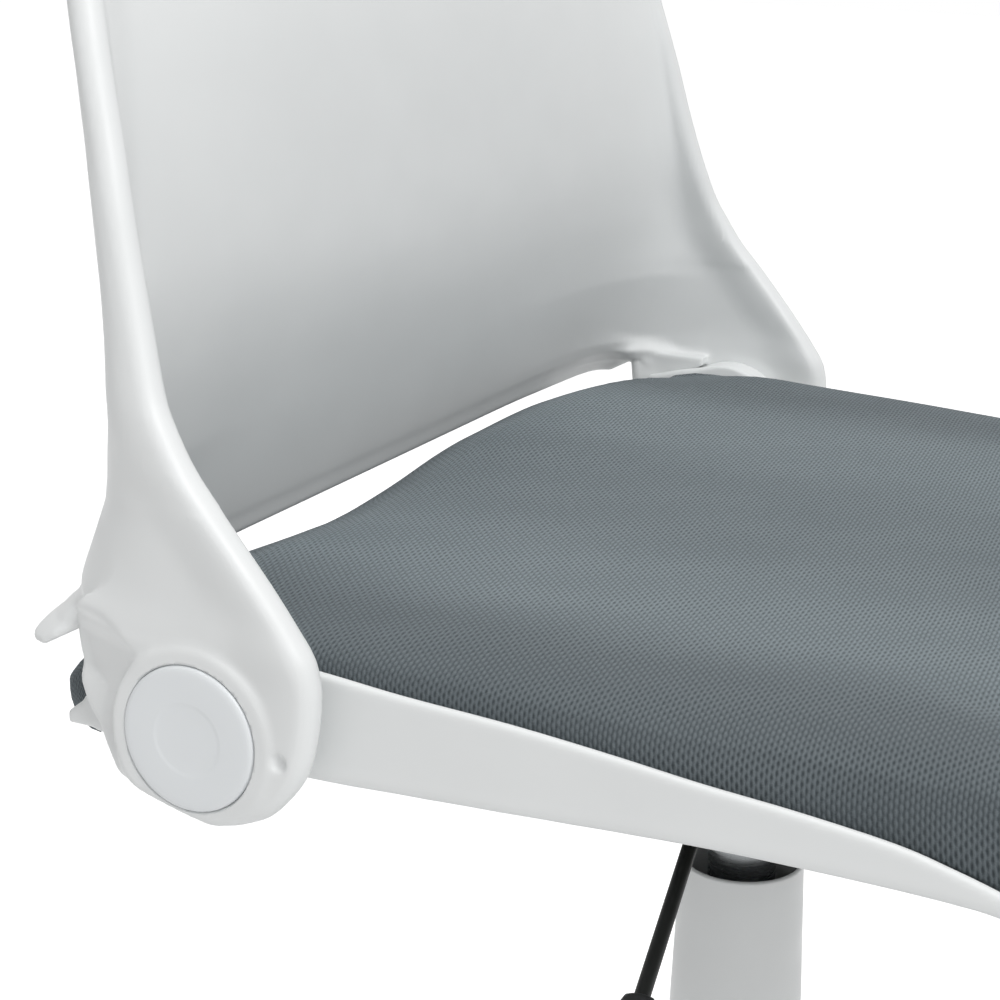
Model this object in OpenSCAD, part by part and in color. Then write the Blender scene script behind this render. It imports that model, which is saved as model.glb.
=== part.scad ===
// Task chair with a one-piece back that folds down over the seat.
// Millimetres. +Z is up, the front of the seat faces -Y and the origin is on
// the floor, on the axis of the gas lift. Left and right are the sitter's own:
// +X is left and -X is right.

/* [Back hinge] */
// Height of the back's hinge axis above the floor
hinge_z = 455; // [435:5:480]
// Distance of the hinge axis behind the gas lift
hinge_y = 104; // [90:1:120]
// Radius of the round cap over each hinge
cap_r = 25.4; // [23:0.1:27]
// Radius of the raised ring round each cap
ring_r = 31; // [30:0.5:34]
// Height by which the ring stands out from the wing
ring_rise = 2.3; // [2:0.1:3]
// Radius of the pivot bolt's shoulder
pivot_r = 6; // [5:0.1:6.5]

/* [Back shell] */
// Height of the back above the hinge axis
back_h = 400; // [360:5:440]
// Height of the panel's lower edge above the hinge axis
panel_low = 20; // [18:0.5:24]
// Widest half-width of the shell, over its rims
shell_hw = 250; // [249:0.5:254]
// Depth scale of the shell's curves
shell_depth = 120; // [116:1:126]
// Thickness of the panel and of the wings
shell_wall = 6; // [5:0.5:7]
// Radius of the rounded rim
rim_r = 6; // [5:0.5:7]
// Distance over which the rim thins into the panel
rim_blend = 26; // [18:1:34]
// Size of the round lobe of each wing about the hinge
lobe_r = 47; // [45:0.5:50]
// Radius of the back's top corners
top_corner_r = 64; // [40:2:90]

/* [Seat] */
// Distance from the hinge axis to the pan's front edge
rail_reach = 345; // [320:5:370]
// Distance from the hinge axis to the tip of the rail's tail
fin_reach = 62.5; // [58:0.5:66]
// Height of the rail above the hinge axis at the hinge
rail_rise = 27; // [26:0.5:29]
// Drop of the rail's lower edge below the hinge axis
rail_drop = 13; // [12.5:0.5:14]
// Gap between each rail of the pan and the wing beside it
rail_gap = 9; // [8:0.5:12]
// Wall of the pan
pan_wall = 5; // [4:0.25:5.5]
// Radius of the disc on each rail that the wing turns against
disc_r = 29.5; // [28:0.5:30]
// Radius of the pan's front corners
front_corner_r = 62; // [45:1:80]

/* [Cushion] */
// Height of the cushion's crown above the hinge axis
crown_h = 35; // [32:0.5:37]
// Distance from the hinge axis to the back of the cushion's rear roll
roll_reach = 86; // [84:0.5:88]
// Drop of the roll's underside below the hinge axis
roll_drop = 27; // [22:0.5:30]
// Overhang of the cushion's nose past the pan's front edge
nose_over = 5; // [3:0.5:8]
// Radius of the cushion's rear corners in plan
rear_corner_r = 52; // [40:1:60]
// Thickness of the board under the cushion
board_t = 6; // [5:0.5:7]

/* [Column] */
// Height of the white cover's top above the floor at rest
cover_top = 335; // [325:1:345]
// Radius of the cover's top
cover_r = 25.5; // [25:0.1:27]
// Widening of the covers per unit of their length
cover_taper = 0.0306; // [0.02:0.001:0.04]
// Wall of the covers
cover_wall = 1.4; // [1.2:0.1:1.8]
// Radius of the steel tube that slides
tube_r = 14; // [13:0.1:14.5]
// Radius of the fixed gas cylinder
cylinder_r = 24.5; // [23.5:0.1:24.7]
// Travel of the lift, half of it up and half down from rest
lift_travel = 100; // [80:5:100]

/* [Height lever] */
// Radius of the lever's rod
lever_r = 3; // [2.5:0.1:3.4]
// Height of the lever's pivot above the cover's top
lever_rise = 55; // [50:1:58]
// Reach of the lever from its pivot to the end of its handle
lever_reach = 195; // [150:5:200]
// Slope of the lever below level
lever_slope = 20.5; // [12:0.5:24]
// Angle of the lever forward of straight sideways
lever_swing = 9.5; // [0:0.5:15]

/* [Base] */
// Radius from the column to the casters
base_r = 285; // [250:5:320]
// Outer radius of the base's hub
hub_r = 39; // [34:1:42]
// Height of the hub
hub_h = 62; // [56:1:70]
// Width of a leg at the hub
leg_root_w = 44; // [36:1:50]
// Width of a leg at its tip
leg_tip_w = 32; // [30:1:38]
// Height of a leg at its tip
leg_tip_h = 24; // [20:1:30]
// Wall of the legs
leg_wall = 4; // [3:0.5:5]
// Diameter of the caster wheels
wheel_d = 50; // [45:1:55]
// Width of one caster wheel
wheel_w = 18; // [14:0.5:22]
// Offset of the wheel axle from the caster's stem
caster_trail = 18; // [14:0.5:20]

/* [Hidden] */
legs = 5;
sides = [-1, 1];
$fn = 64;

// Clearances between faces that stay apart, between moving curved faces, and
// in a running fit, and the length by which a cut runs past the face it opens
face_gap = 0.3;
free_gap = 0.6;
run_gap = 0.05;
overrun = 1;

// Colours
white = [0.86, 0.87, 0.87];
fabric_grey = [0.44, 0.47, 0.49];
steel = [0.62, 0.63, 0.65];
black = [0.1, 0.1, 0.11];
brass = [0.75, 0.62, 0.35];
board_tan = [0.72, 0.6, 0.42];

// Point on a smooth curve through p, between points i and i + 1
function smooth_at(p, i, t) =
    let (a = p[max(i - 1, 0)], b = p[i], c = p[i + 1], d = p[min(i + 2, len(p) - 1)])
    (2 * b + (c - a) * t + (2 * a - 5 * b + 4 * c - d) * t * t
        + (3 * b - a - 3 * c + d) * t * t * t) / 2;
function smooth(p, n) =
    concat([for (i = [0:len(p) - 2], k = [0:n - 1]) smooth_at(p, i, k / n)], [p[len(p) - 1]]);
function scaled(shares, a, b) = [for (s = shares) [s[0] * a, s[1] * b]];
function reversed(p) = [for (i = [len(p) - 1:-1:0]) p[i]];
function mix(a, b, t) = a + (b - a) * t;
function clamp(v) = max(0, min(1, v));
function ease(v) = clamp(v) * clamp(v) * (3 - 2 * clamp(v));
function fade(v, a, b) = ease((v - a) / (b - a));
function arc(cx, cy, r, a0, a1, n) =
    [for (i = [0:n]) let (a = mix(a0, a1, i / n)) [cx + r * cos(a), cy + r * sin(a)]];
function run(a, b, n) = [for (i = [1:n - 1]) mix(a, b, i / n)];
// Height of a line of (y, z) points that runs from the rear to the front
function height_at(line, y) = lookup(-y, [for (p = line) [-p[0], p[1]]]);

// Round-cornered outline from y0 (front) to y1 (rear), with points along its
// sides so that surfaces over it can bend
function plan(hw, y0, y1, rf, rr, n, m) = concat(
    arc(hw - rf, y0 + rf, rf, -90, 0, n),
    run([hw, y0 + rf], [hw, y1 - rr], m),
    arc(hw - rr, y1 - rr, rr, 0, 90, n),
    run([hw - rr, y1], [rr - hw, y1], m),
    arc(rr - hw, y1 - rr, rr, 90, 180, n),
    run([-hw, y1 - rr], [-hw, y0 + rf], m),
    arc(rf - hw, y0 + rf, rf, 180, 270, n),
    run([rf - hw, y0], [hw - rf, y0], m));

module at_hinge() { translate([0, hinge_y, hinge_z]) children(); }
// A flat outline in (Y, Z), given thickness from x0 to x1
module along_x(x0, x1) {
    translate([x0, 0, 0]) rotate([90, 0, 90]) linear_extrude(height = x1 - x0) children();
}
// The same on the side s, from x0 out to x1
module side_slab(s, x0, x1) {
    along_x(s > 0 ? x0 : -x1, s > 0 ? x1 : -x0) children();
}
// A cylinder about the hinge axis, on the side s, from x0 out to x1
module hinge_disc(s, x0, x1, r) {
    at_hinge() rotate([0, 90 * s, 0]) translate([0, 0, x0]) cylinder(h = x1 - x0, r = r);
}
module post(z0, z1, r) { translate([0, 0, z0]) cylinder(h = z1 - z0, r = r); }
module cone(z0, z1, r0, r1) { translate([0, 0, z0]) cylinder(h = z1 - z0, r1 = r0, r2 = r1); }
module ring(z0, z1, r_out, r_in) {
    difference() {
        post(z0, z1, r_out);
        post(z0 - overrun, z1 + overrun, r_in);
    }
}
module block(hw, hl, z0, z1) { translate([-hw, -hl, z0]) cube([2 * hw, 2 * hl, z1 - z0]); }
module hex_bolt(z0, length, r, head_r, head_t) {
    post(z0, z0 + length, r);
    translate([0, 0, z0 - head_t]) cylinder(h = head_t, r = head_r, $fn = 6);
}
module at_leg(i) { rotate([0, 0, 90 + 360 / legs * i]) children(); }

// Base: five-legged moulding with a tapered seat for the gas cylinder
stem_clear = 8;
leg_lift = 4;
hub_lip = 6;
hub_foot = 2;
tip_round = 6;
socket_bore_r = 7;
socket_roof = 3;
cone_stand = 1;
cone_narrowing = 1.6;
caster_rise = wheel_d + stem_clear;
hub_base_z = caster_rise + leg_lift;
leg_base_z = hub_base_z + hub_foot;
hub_top_z = hub_base_z + hub_h;
shoulder_z = hub_top_z - hub_lip;
leg_end = base_r + leg_tip_w / 2;
leg_tip_top_z = hub_base_z + leg_tip_h;
socket_top_z = leg_tip_top_z - socket_roof;
// Top of a leg: share of the base's radius, share of the rise to the hub
leg_top_shares = [[0.72, 0.25], [0.2, 0.81], [0.11, 1], [0, 1]];
leg_profile = concat([[0, leg_base_z], [leg_end, leg_base_z]],
    arc(leg_end - tip_round, leg_tip_top_z - tip_round, tip_round, 0, 90, 6),
    [for (s = leg_top_shares) [base_r * s[0], mix(leg_tip_top_z, shoulder_z, s[1])]]);
leg_plan = concat([[0, -leg_root_w / 2]], arc(base_r, 0, leg_tip_w / 2, -90, 90, 16),
    [[0, leg_root_w / 2]]);
hollow_start = hub_r + leg_wall;
hollow_end = base_r - leg_tip_w / 2 - leg_wall;
function hollow_hw(x) = mix(leg_root_w, leg_tip_w, x / base_r) / 2 - leg_wall;
module leg_side(drop) {
    translate([0, leg_root_w, -drop]) rotate([90, 0, 0]) linear_extrude(height = 2 * leg_root_w)
        polygon(leg_profile);
}
module leg_block() {
    intersection() {
        leg_side(0);
        linear_extrude(height = hub_top_z) polygon(leg_plan);
    }
}
module leg_hollow() {
    intersection() {
        leg_side(leg_wall);
        linear_extrude(height = hub_top_z) polygon([
            [hollow_start, -hollow_hw(hollow_start)], [hollow_end, -hollow_hw(hollow_end)],
            [hollow_end, hollow_hw(hollow_end)], [hollow_start, hollow_hw(hollow_start)]]);
    }
}
module star_base() {
    color(white) difference() {
        union() {
            post(hub_base_z, hub_top_z, hub_r);
            for (i = [1:legs]) at_leg(i) difference() {
                leg_block();
                leg_hollow();
            }
        }
        cone(cone_base_z, cone_top_z, cone_foot_r + run_gap, cylinder_r + run_gap);
        for (i = [1:legs]) at_leg(i) translate([base_r, 0, 0])
            post(caster_rise, socket_top_z, socket_bore_r);
    }
}
module caster_sockets() {
    color(steel) for (i = [1:legs]) at_leg(i) translate([base_r, 0, 0])
        ring(caster_rise, socket_top_z, socket_bore_r, stem_r + run_gap);
}

// Gas cylinder and its sleeve, fixed in the hub
cylinder_wall = 2;
sleeve_drop = 42;
sleeve_len = 60;
sleeve_flange_t = 3;
rod_r = 5;
cone_base_z = hub_base_z - cone_stand;
cone_top_z = hub_top_z + cone_stand;
cone_foot_r = cylinder_r - cone_narrowing;
cylinder_bore_r = cone_foot_r - cylinder_wall;
cylinder_top_z = cover_top - lift_travel / 2 - sleeve_drop;
bearing_z = hub_base_z + cylinder_wall;
module gas_cylinder() {
    color(black) difference() {
        union() {
            cone(cone_base_z, cone_top_z, cone_foot_r, cylinder_r);
            post(hub_top_z, cylinder_top_z, cylinder_r);
        }
        post(bearing_z, cylinder_top_z + overrun, cylinder_bore_r);
        post(cone_base_z - overrun, cylinder_top_z, rod_r + face_gap);
    }
}
module guide_sleeve() {
    sleeve_r = cylinder_bore_r - run_gap;
    color(white) difference() {
        union() {
            post(cylinder_top_z - sleeve_len, cylinder_top_z, sleeve_r);
            post(cylinder_top_z, cylinder_top_z + sleeve_flange_t, cylinder_r);
        }
        post(cylinder_top_z - sleeve_len - overrun, cylinder_top_z + sleeve_flange_t + overrun,
            tube_r + run_gap);
    }
}

// Covers: top, middle and lower, each wider than the one above
top_cover_len = 112;
middle_cover_len = 106;
cover_lap = 33;
cover_round = 2.4;
cover_hole_gap = 0.2;
top_cover_base_r = cover_r + cover_taper * top_cover_len;
middle_cover_r = top_cover_base_r + face_gap + cover_wall;
middle_cover_base_r = middle_cover_r + cover_taper * middle_cover_len;
lower_cover_r = middle_cover_base_r + face_gap + cover_wall;
middle_top_z = cover_top - top_cover_len + cover_lap;
middle_base_z = middle_top_z - middle_cover_len;
lower_top_z = middle_base_z + cover_lap;
lower_cover_base_r = lower_cover_r + cover_taper * (lower_top_z - hub_top_z);
// Straight stretch inside a cover's top, in which the next cover's foot slides
cover_land = cover_lap + lift_travel / 4;
module cover(z0, z1, r0, r1, inner_r, land, hole_r) {
    difference() {
        union() {
            cone(z0, z1 - cover_round, r0, r1);
            translate([0, 0, z1 - cover_round]) rotate_extrude() polygon(concat(
                [[0, 0]], arc(r1 - cover_round, 0, cover_round, 0, 90, 8), [[0, cover_round]]));
        }
        cone(z0, z1 - land, r0 - cover_wall, inner_r);
        post(z1 - land, z1 - cover_round, inner_r);
        post(z0, z1 + overrun, hole_r);
    }
}
module lower_cover() {
    color(white) cover(hub_top_z + run_gap, lower_top_z, lower_cover_base_r, lower_cover_r,
        lower_cover_r - cover_wall, cover_land, lower_cover_r - cover_wall);
}
module middle_cover() {
    color(white) cover(middle_base_z, middle_top_z, middle_cover_base_r, middle_cover_r,
        middle_cover_r - cover_wall, cover_land, middle_cover_r - cover_wall);
}
module top_cover() {
    color(white) cover(cover_top - top_cover_len, cover_top, top_cover_base_r, cover_r,
        cover_r - cover_wall, 2 * cover_round, tube_r + cover_hole_gap);
}

// Lift: rod and bearing turn in the cylinder, the tube slides over the rod
clip_t = 1.6;
clip_w = 5;
clip_slack = 0.1;
groove_d = 1;
rod_tail = 3;
rod_room = 2;
head_len = 10;
head_gap = 0.2;
collar_t = 4;
collar_w = 4;
bearing_t = 6;
race_t = 1.5;
race_w = 9;
cage_w = 6;
cage_inset = 3;
tube_wall = 1.3;
tube_narrowing = 0.9;
tube_base_t = 8;
tube_head_t = 10;
tube_cone_len = 34;
tube_bore_r = tube_r - tube_narrowing - tube_wall;
clip_z = cone_base_z - face_gap - clip_t;
bearing_top_z = bearing_z + bearing_t;
tube_bottom_z = bearing_top_z + collar_t + rod_room + lift_travel / 2;
rod_top_z = tube_bottom_z + tube_base_t + lift_travel / 2 + rod_room + head_len;
module retaining_clip() {
    color(steel) ring(clip_z, clip_z + clip_t, rod_r + clip_w, rod_r - groove_d);
}
module piston_rod() {
    color(steel) difference() {
        union() {
            post(clip_z - rod_tail, rod_top_z, rod_r);
            post(rod_top_z - head_len, rod_top_z, tube_bore_r - head_gap);
            post(bearing_top_z, bearing_top_z + collar_t, rod_r + collar_w);
        }
        ring(clip_z - clip_slack, clip_z + clip_t + clip_slack, rod_r + overrun,
            rod_r - groove_d - clip_slack);
    }
}
module thrust_bearing() {
    color(steel) union() {
        ring(bearing_z, bearing_z + race_t, rod_r + race_w, rod_r + run_gap);
        ring(bearing_z + race_t, bearing_top_z - race_t, rod_r + cage_w, rod_r + cage_inset);
        ring(bearing_top_z - race_t, bearing_top_z, rod_r + race_w, rod_r + run_gap);
    }
}
module pressure_tube() {
    color(steel) difference() {
        union() {
            post(tube_bottom_z, tube_top_z - tube_cone_len, tube_r);
            cone(tube_top_z - tube_cone_len, tube_top_z, tube_r, tube_r - tube_narrowing);
        }
        post(tube_bottom_z + tube_base_t, tube_top_z - tube_head_t, tube_bore_r);
        post(tube_bottom_z - overrun, tube_bottom_z + tube_base_t + overrun, rod_r + clip_slack);
        post(tube_top_z - tube_head_t - overrun, tube_top_z + overrun, button_r + run_gap);
    }
}

// Height lever and the valve button that its finger presses
button_r = 4;
button_rise = 6;
button_flange_t = 5;
button_flange_w = 2;
lever_pivot_x = -30;
lever_y = 1.1;
ear_gap = 13;
ear_t = 2.5;
ear_hw = 8;
ear_head = 6;
eye_r = 5;
pin_r = 2;
pin_over = 2;
pin_head_t = 1.6;
pin_head_w = 1.6;
handle_len = 64;
handle_w = 26;
handle_t = 9;
grip_depth = 42;
pivot_z = cover_top + lever_rise;
button_top_z = pivot_z - lever_r - face_gap;
tube_top_z = button_top_z - button_rise;
module valve_button() {
    flange_top_z = tube_top_z - tube_head_t - face_gap;
    color(black) union() {
        post(flange_top_z - button_flange_t, button_top_z, button_r);
        post(flange_top_z - button_flange_t, flange_top_z, button_r + button_flange_w);
    }
}
module at_pivot() { translate([lever_pivot_x, lever_y, pivot_z]) children(); }
module along_lever() {
    at_pivot() rotate([0, 0, 180 + lever_swing]) rotate([0, 90 + lever_slope, 0]) children();
}
module lever_bracket() {
    foot_z = box_base_z + box_wall;
    width = ear_gap + 2 * ear_t;
    color(steel) difference() {
        translate([lever_pivot_x - ear_hw, lever_y - width / 2, foot_z]) difference() {
            cube([2 * ear_hw, width, pivot_z + ear_head - foot_z]);
            translate([-overrun, ear_t, ear_t])
                cube([2 * (ear_hw + overrun), ear_gap, pivot_z + ear_head - foot_z]);
        }
        at_pivot() rotate([90, 0, 0]) cylinder(h = width + 2 * overrun, r = pin_r + run_gap, center = true);
        post(foot_z - overrun, pivot_z, socket_r + socket_flange_w + face_gap);
    }
}
module lever_pin() {
    color(steel) at_pivot() rotate([90, 0, 0]) union() {
        cylinder(h = ear_gap + 2 * (ear_t + pin_over), r = pin_r, center = true);
        translate([0, 0, ear_gap / 2 + ear_t]) cylinder(h = pin_head_t, r = pin_r + pin_head_w);
    }
}
module lever_rod() {
    color(black) difference() {
        union() {
            along_lever() cylinder(h = lever_reach - handle_len + grip_depth, r = lever_r);
            at_pivot() rotate([90, 0, 0]) cylinder(h = ear_gap - 2 * free_gap, r = eye_r, center = true);
            at_pivot() rotate([0, 90, 0]) cylinder(h = button_r - lever_pivot_x, r = lever_r);
        }
        at_pivot() rotate([90, 0, 0]) cylinder(h = ear_gap, r = pin_r + run_gap, center = true);
    }
}
// Half outline of the handle: share of its length, share of its width
handle_shares = [[0, 0.21], [0.22, 0.4]];
module lever_handle() {
    half = scaled(handle_shares, handle_len, handle_w);
    color(black) along_lever() translate([0, 0, lever_reach - handle_len]) difference() {
        rotate([0, -90, 0]) translate([0, 0, -handle_t / 2]) linear_extrude(height = handle_t)
            polygon(concat(half, arc(handle_len - handle_w / 2, 0, handle_w / 2, 90, -90, 18),
                [for (p = reversed(half)) [p[0], -p[1]]]));
        post(-overrun, grip_depth + face_gap, lever_r + run_gap);
    }
}

// Mechanism: pressed plate with a box section and the socket for the tube
plate_t = 3;
plate_hw = 85;
plate_hl = 100;
plate_rise = 23;
box_hw = 45;
box_hl = 58;
box_wall = 2.5;
box_drop = 46;
socket_r = 19;
socket_drop = 12;
socket_h = 31;
socket_flange_t = 3;
socket_flange_w = 5;
slot_room = 6;
bolt_x = 72;
bolt_y = 82;
post_r = 11;
post_bolt_r = 4;
post_head_r = 7.5;
post_head_t = 5;
post_bolt_grip = 16;
insert_len = 18;
insert_w = 3;
plate_top_z = pivot_z + plate_rise;
box_base_z = plate_top_z - plate_t - box_drop;
socket_base_z = box_base_z - socket_drop;
slot_hw = lever_r + slot_room;
slot_z = pivot_z - (box_hw + lever_pivot_x) * tan(lever_slope);
module bolt_places() {
    for (x = [-bolt_x, bolt_x], y = [-bolt_y, bolt_y]) translate([x, y, 0]) children();
}
module seat_plate() {
    color(black) difference() {
        union() {
            block(plate_hw, plate_hl, plate_top_z - plate_t, plate_top_z);
            block(box_hw, box_hl, box_base_z, plate_top_z - plate_t / 2);
        }
        block(box_hw - box_wall, box_hl - box_wall, box_base_z + box_wall, plate_top_z + overrun);
        bolt_places() post(plate_top_z - plate_t - overrun, plate_top_z + overrun, post_bolt_r + face_gap);
        post(box_base_z - overrun, box_base_z + box_wall + overrun, socket_r + run_gap);
        translate([-box_hw - overrun, lever_y - slot_hw, slot_z - slot_hw])
            cube([box_wall + 2 * overrun, 2 * slot_hw, 2 * slot_hw]);
    }
}
module taper_socket() {
    top_r = tube_r - tube_narrowing;
    color(steel) difference() {
        union() {
            post(socket_base_z, socket_base_z + socket_h, socket_r);
            post(box_base_z + box_wall, box_base_z + box_wall + socket_flange_t, socket_r + socket_flange_w);
        }
        cone(tube_top_z - tube_cone_len, tube_top_z, tube_r + run_gap, top_r + run_gap);
        post(tube_top_z - overrun, socket_base_z + socket_h + overrun, top_r + run_gap);
    }
}
module plate_bolts() {
    color(steel) bolt_places()
        hex_bolt(plate_top_z - plate_t, plate_t + post_bolt_grip, post_bolt_r, post_head_r, post_head_t);
}
module post_inserts() {
    color(brass) bolt_places()
        ring(plate_top_z + run_gap, plate_top_z + insert_len, post_bolt_r + insert_w, post_bolt_r + run_gap);
}

// Layers of the hinge, out from the middle of the chair along X
wing_inset = 0.2;
washer_t = 0.5;
washer_gap = 0.1;
recess_web = 2.5;
boss_r = 11;
boss_rise = 2.5;
bush_wall = 2;
bush_flange_t = 1;
bolt_head_r = 10.5;
bolt_head_t = 1.7;
bolt_socket_r = 2.5;
cap_rise = 1.2;
cap_edge = 0.8;
cap_t = 1.4;
cap_skirt_t = 1.5;
wing_in = shell_hw - rim_r - shell_wall / 2;
wing_out = wing_in + shell_wall;
pan_hw = wing_in - rail_gap;
disc_face = wing_in + wing_inset - washer_gap - washer_t;
ring_face = wing_out + ring_rise;
recess_r = cap_r + face_gap;
recess_floor = wing_in + recess_web;
boss_face = recess_floor + boss_rise;
bolt_head_face = boss_face + bush_flange_t + face_gap;
cap_face = ring_face + cap_rise;
pan_in = pan_hw - pan_wall;

// Side outlines of the seat, as shares of its reach and of its rise or drop
rail_top_shares = [[-0.12, 0.74], [-0.05, 0.97], [0, 0.99], [0.11, 0.9], [0.2, 0.795], [0.31, 0.71],
    [0.41, 0.59], [0.5, 0.46], [0.59, 0.36], [0.68, 0.22], [0.73, 0.07], [0.775, -0.095],
    [0.84, -0.39], [0.91, -0.71], [1, -1.1]];
rail_tail_shares = [[1, -0.2], [1, -0.13], [0.91, -0.06], [0.83, 0.05], [0.72, 0.2]];
rail_low_shares = [[0, 1], [0.11, 1.01], [0.2, 0.92], [0.31, 0.8], [0.49, 0.59], [0.6, 0.56],
    [0.715, 0.61], [0.775, 0.73], [0.84, 1.12], [0.91, 1.73], [1, 2.6]];
board_front_share = 0.695;
board_rear_share = 0.142;
board_top_shares = [[-board_rear_share, 0.56], [0.17, 0.5], [0.3, 0.4], [0.4, 0.31], [0.5, 0.22],
    [0.59, 0.14], [board_front_share, 0.1]];
floor_rear_share = 0.8;
rail_top = smooth(scaled(rail_top_shares, -rail_reach, rail_rise), 3);
rail_tail = scaled(rail_tail_shares, fin_reach, fin_reach);
rail_low = smooth(scaled(rail_low_shares, -rail_reach, -rail_drop), 3);
board_top = smooth(scaled(board_top_shares, -rail_reach, rail_rise), 2);
floor_line = concat([[fin_reach * floor_rear_share, -rail_drop]], rail_low);
pan_plan = plan(pan_hw, -rail_reach, fin_reach + overrun, front_corner_r, overrun, 14, 2);

// Seat pan: floor, side rails, hinge discs, posts and a skirt under the floor
floor_t = 4;
screw_r = 2;
screw_boss_r = 6;
lug_inset = 0.4;
bolt_slack = 0.2;
screw_x_share = 0.55;
screw_y_shares = [-0.55, -0.25, 0.054];
screw_x = pan_hw * screw_x_share;
screw_ys = [for (s = screw_y_shares) s * rail_reach];
// Lug that the back's stop rests on: shares of the tail's reach
lug_front_share = 0.33;
lug_rear_share = 0.7;
lug_top_share = 0.2;
lug_y0 = fin_reach * lug_front_share;
lug_y1 = fin_reach * lug_rear_share;
lug_z = fin_reach * lug_top_share;
module pan_outline() {
    translate([0, 0, -rail_reach]) linear_extrude(height = 2 * rail_reach) polygon(pan_plan);
}
module pan_rails() {
    for (s = sides) side_slab(s, pan_in, pan_hw) polygon(concat(rail_tail, rail_top, reversed(rail_low)));
}
module pan_floor() {
    along_x(-pan_in - pan_wall / 2, pan_in + pan_wall / 2)
        polygon(concat(floor_line, reversed([for (p = floor_line) p + [0, floor_t]])));
}
// Space below the floor's own middle line, down to the plate
module under_floor() {
    at_hinge() along_x(-pan_hw, pan_hw) polygon(concat(
        [[floor_line[0][0], plate_top_z - hinge_z]], [for (p = floor_line) p + [0, floor_t / 2]],
        [[-rail_reach, plate_top_z - hinge_z]]));
}
module pan_posts() {
    intersection() {
        under_floor();
        union() {
            bolt_places() post(plate_top_z, hinge_z, post_r);
            difference() {
                block(plate_hw, plate_hl, plate_top_z, hinge_z);
                block(plate_hw - floor_t, plate_hl - floor_t, plate_top_z - overrun, hinge_z);
            }
        }
    }
}
module screw_bosses() {
    at_hinge() for (x = [-screw_x, screw_x], y = screw_ys) translate([x, y, 0])
        post(height_at(rail_low, y) + floor_t / 2, height_at(board_top, y) - board_t - free_gap,
            screw_boss_r);
}
module bracket_places(s) {
    for (y = [-bracket_bolt_y, bracket_bolt_y])
        at_hinge() translate([s * (pan_in - bracket_bolt_in), y, 0]) children();
}
module seat_pan() {
    color(white) difference() {
        union() {
            at_hinge() intersection() {
                union() {
                    pan_rails();
                    pan_floor();
                }
                pan_outline();
            }
            for (s = sides) hinge_disc(s, pan_in, disc_face, disc_r);
            for (s = sides) at_hinge() side_slab(s, pan_in, disc_face - lug_inset)
                polygon([[lug_y0, 0], [lug_y1, 0], [lug_y1, lug_z], [lug_y0, lug_z]]);
            pan_posts();
            screw_bosses();
        }
        bolt_places() post(plate_top_z - overrun, plate_top_z + insert_len + face_gap,
            post_bolt_r + insert_w + run_gap);
        for (s = sides) hinge_disc(s, pan_in - overrun, disc_face + overrun, pivot_r + bolt_slack);
        at_hinge() for (x = [-screw_x, screw_x], y = screw_ys) translate([x, y, 0])
            post(-rail_drop - overrun, rail_drop, screw_r + face_gap);
        for (s = sides) bracket_places(s) post(-rail_drop - overrun, rail_drop, bracket_bolt_r + face_gap);
    }
}
board_gap = 4;
board_corner_r = 46;
module seat_board() {
    board_hw = pan_in - board_gap;
    color(board_tan) at_hinge() difference() {
        intersection() {
            along_x(-board_hw, board_hw)
                polygon(concat(board_top, reversed([for (p = board_top) p - [0, board_t]])));
            translate([0, 0, -rail_reach]) linear_extrude(height = 2 * rail_reach)
                polygon(plan(board_hw, -rail_reach * board_front_share, rail_reach * board_rear_share,
                    board_corner_r, board_corner_r, 10, 2));
        }
        for (x = [-screw_x, screw_x], y = screw_ys) translate([x, y, 0])
            post(-rail_drop, rail_rise, screw_r + run_gap);
    }
}
module board_screws() {
    color(steel) at_hinge() for (x = [-screw_x, screw_x], y = screw_ys) translate([x, y, 0])
        hex_bolt(height_at(rail_low, y) - face_gap,
            height_at(board_top, y) - height_at(rail_low, y) - board_t / 2, screw_r, 2 * screw_r, screw_r);
}

// Hinge hardware inside the pan
bracket_t = 2.5;
bracket_hl = 26;
bracket_foot = 32;
bracket_inset = 0.1;
bracket_bolt_r = 2.5;
bracket_bolt_y = 15.6;
bracket_bolt_in = 19.2;
bracket_head_r = 4.5;
bracket_head_t = 3;
bracket_bolt_over = 4;
bracket_top = height_at(board_top, -bracket_hl) - board_t - free_gap;
thread_r = 4;
thread_over = 2;
nut_t = 6;
nut_r = 6.5;
module hinge_bracket(s) {
    x0 = pan_in - bracket_inset;
    foot_z = floor_t + bracket_inset - rail_drop;
    color(steel) difference() {
        at_hinge() side_slab(s, x0 - bracket_foot, x0)
            polygon([[-bracket_hl, foot_z], [bracket_hl, foot_z], [bracket_hl, bracket_top],
                [-bracket_hl, bracket_top]]);
        at_hinge() side_slab(s, x0 - bracket_foot - overrun, x0 - bracket_t)
            polygon([[-bracket_hl - overrun, foot_z + bracket_t],
                [bracket_hl + overrun, foot_z + bracket_t],
                [bracket_hl + overrun, bracket_top + overrun],
                [-bracket_hl - overrun, bracket_top + overrun]]);
        hinge_disc(s, x0 - bracket_t - overrun, x0 + overrun, thread_r + run_gap);
        bracket_places(s) post(-rail_drop, rail_drop, bracket_bolt_r + run_gap);
    }
}
module left_hinge_bracket() { hinge_bracket(1); }
module right_hinge_bracket() { hinge_bracket(-1); }
module bracket_bolts() {
    color(steel) for (s = sides) bracket_places(s) hex_bolt(-rail_drop - face_gap,
        floor_t + bracket_t + bracket_bolt_over, bracket_bolt_r, bracket_head_r, bracket_head_t);
}
nut_face = pan_in - bracket_inset - bracket_t - bracket_inset;
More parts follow.
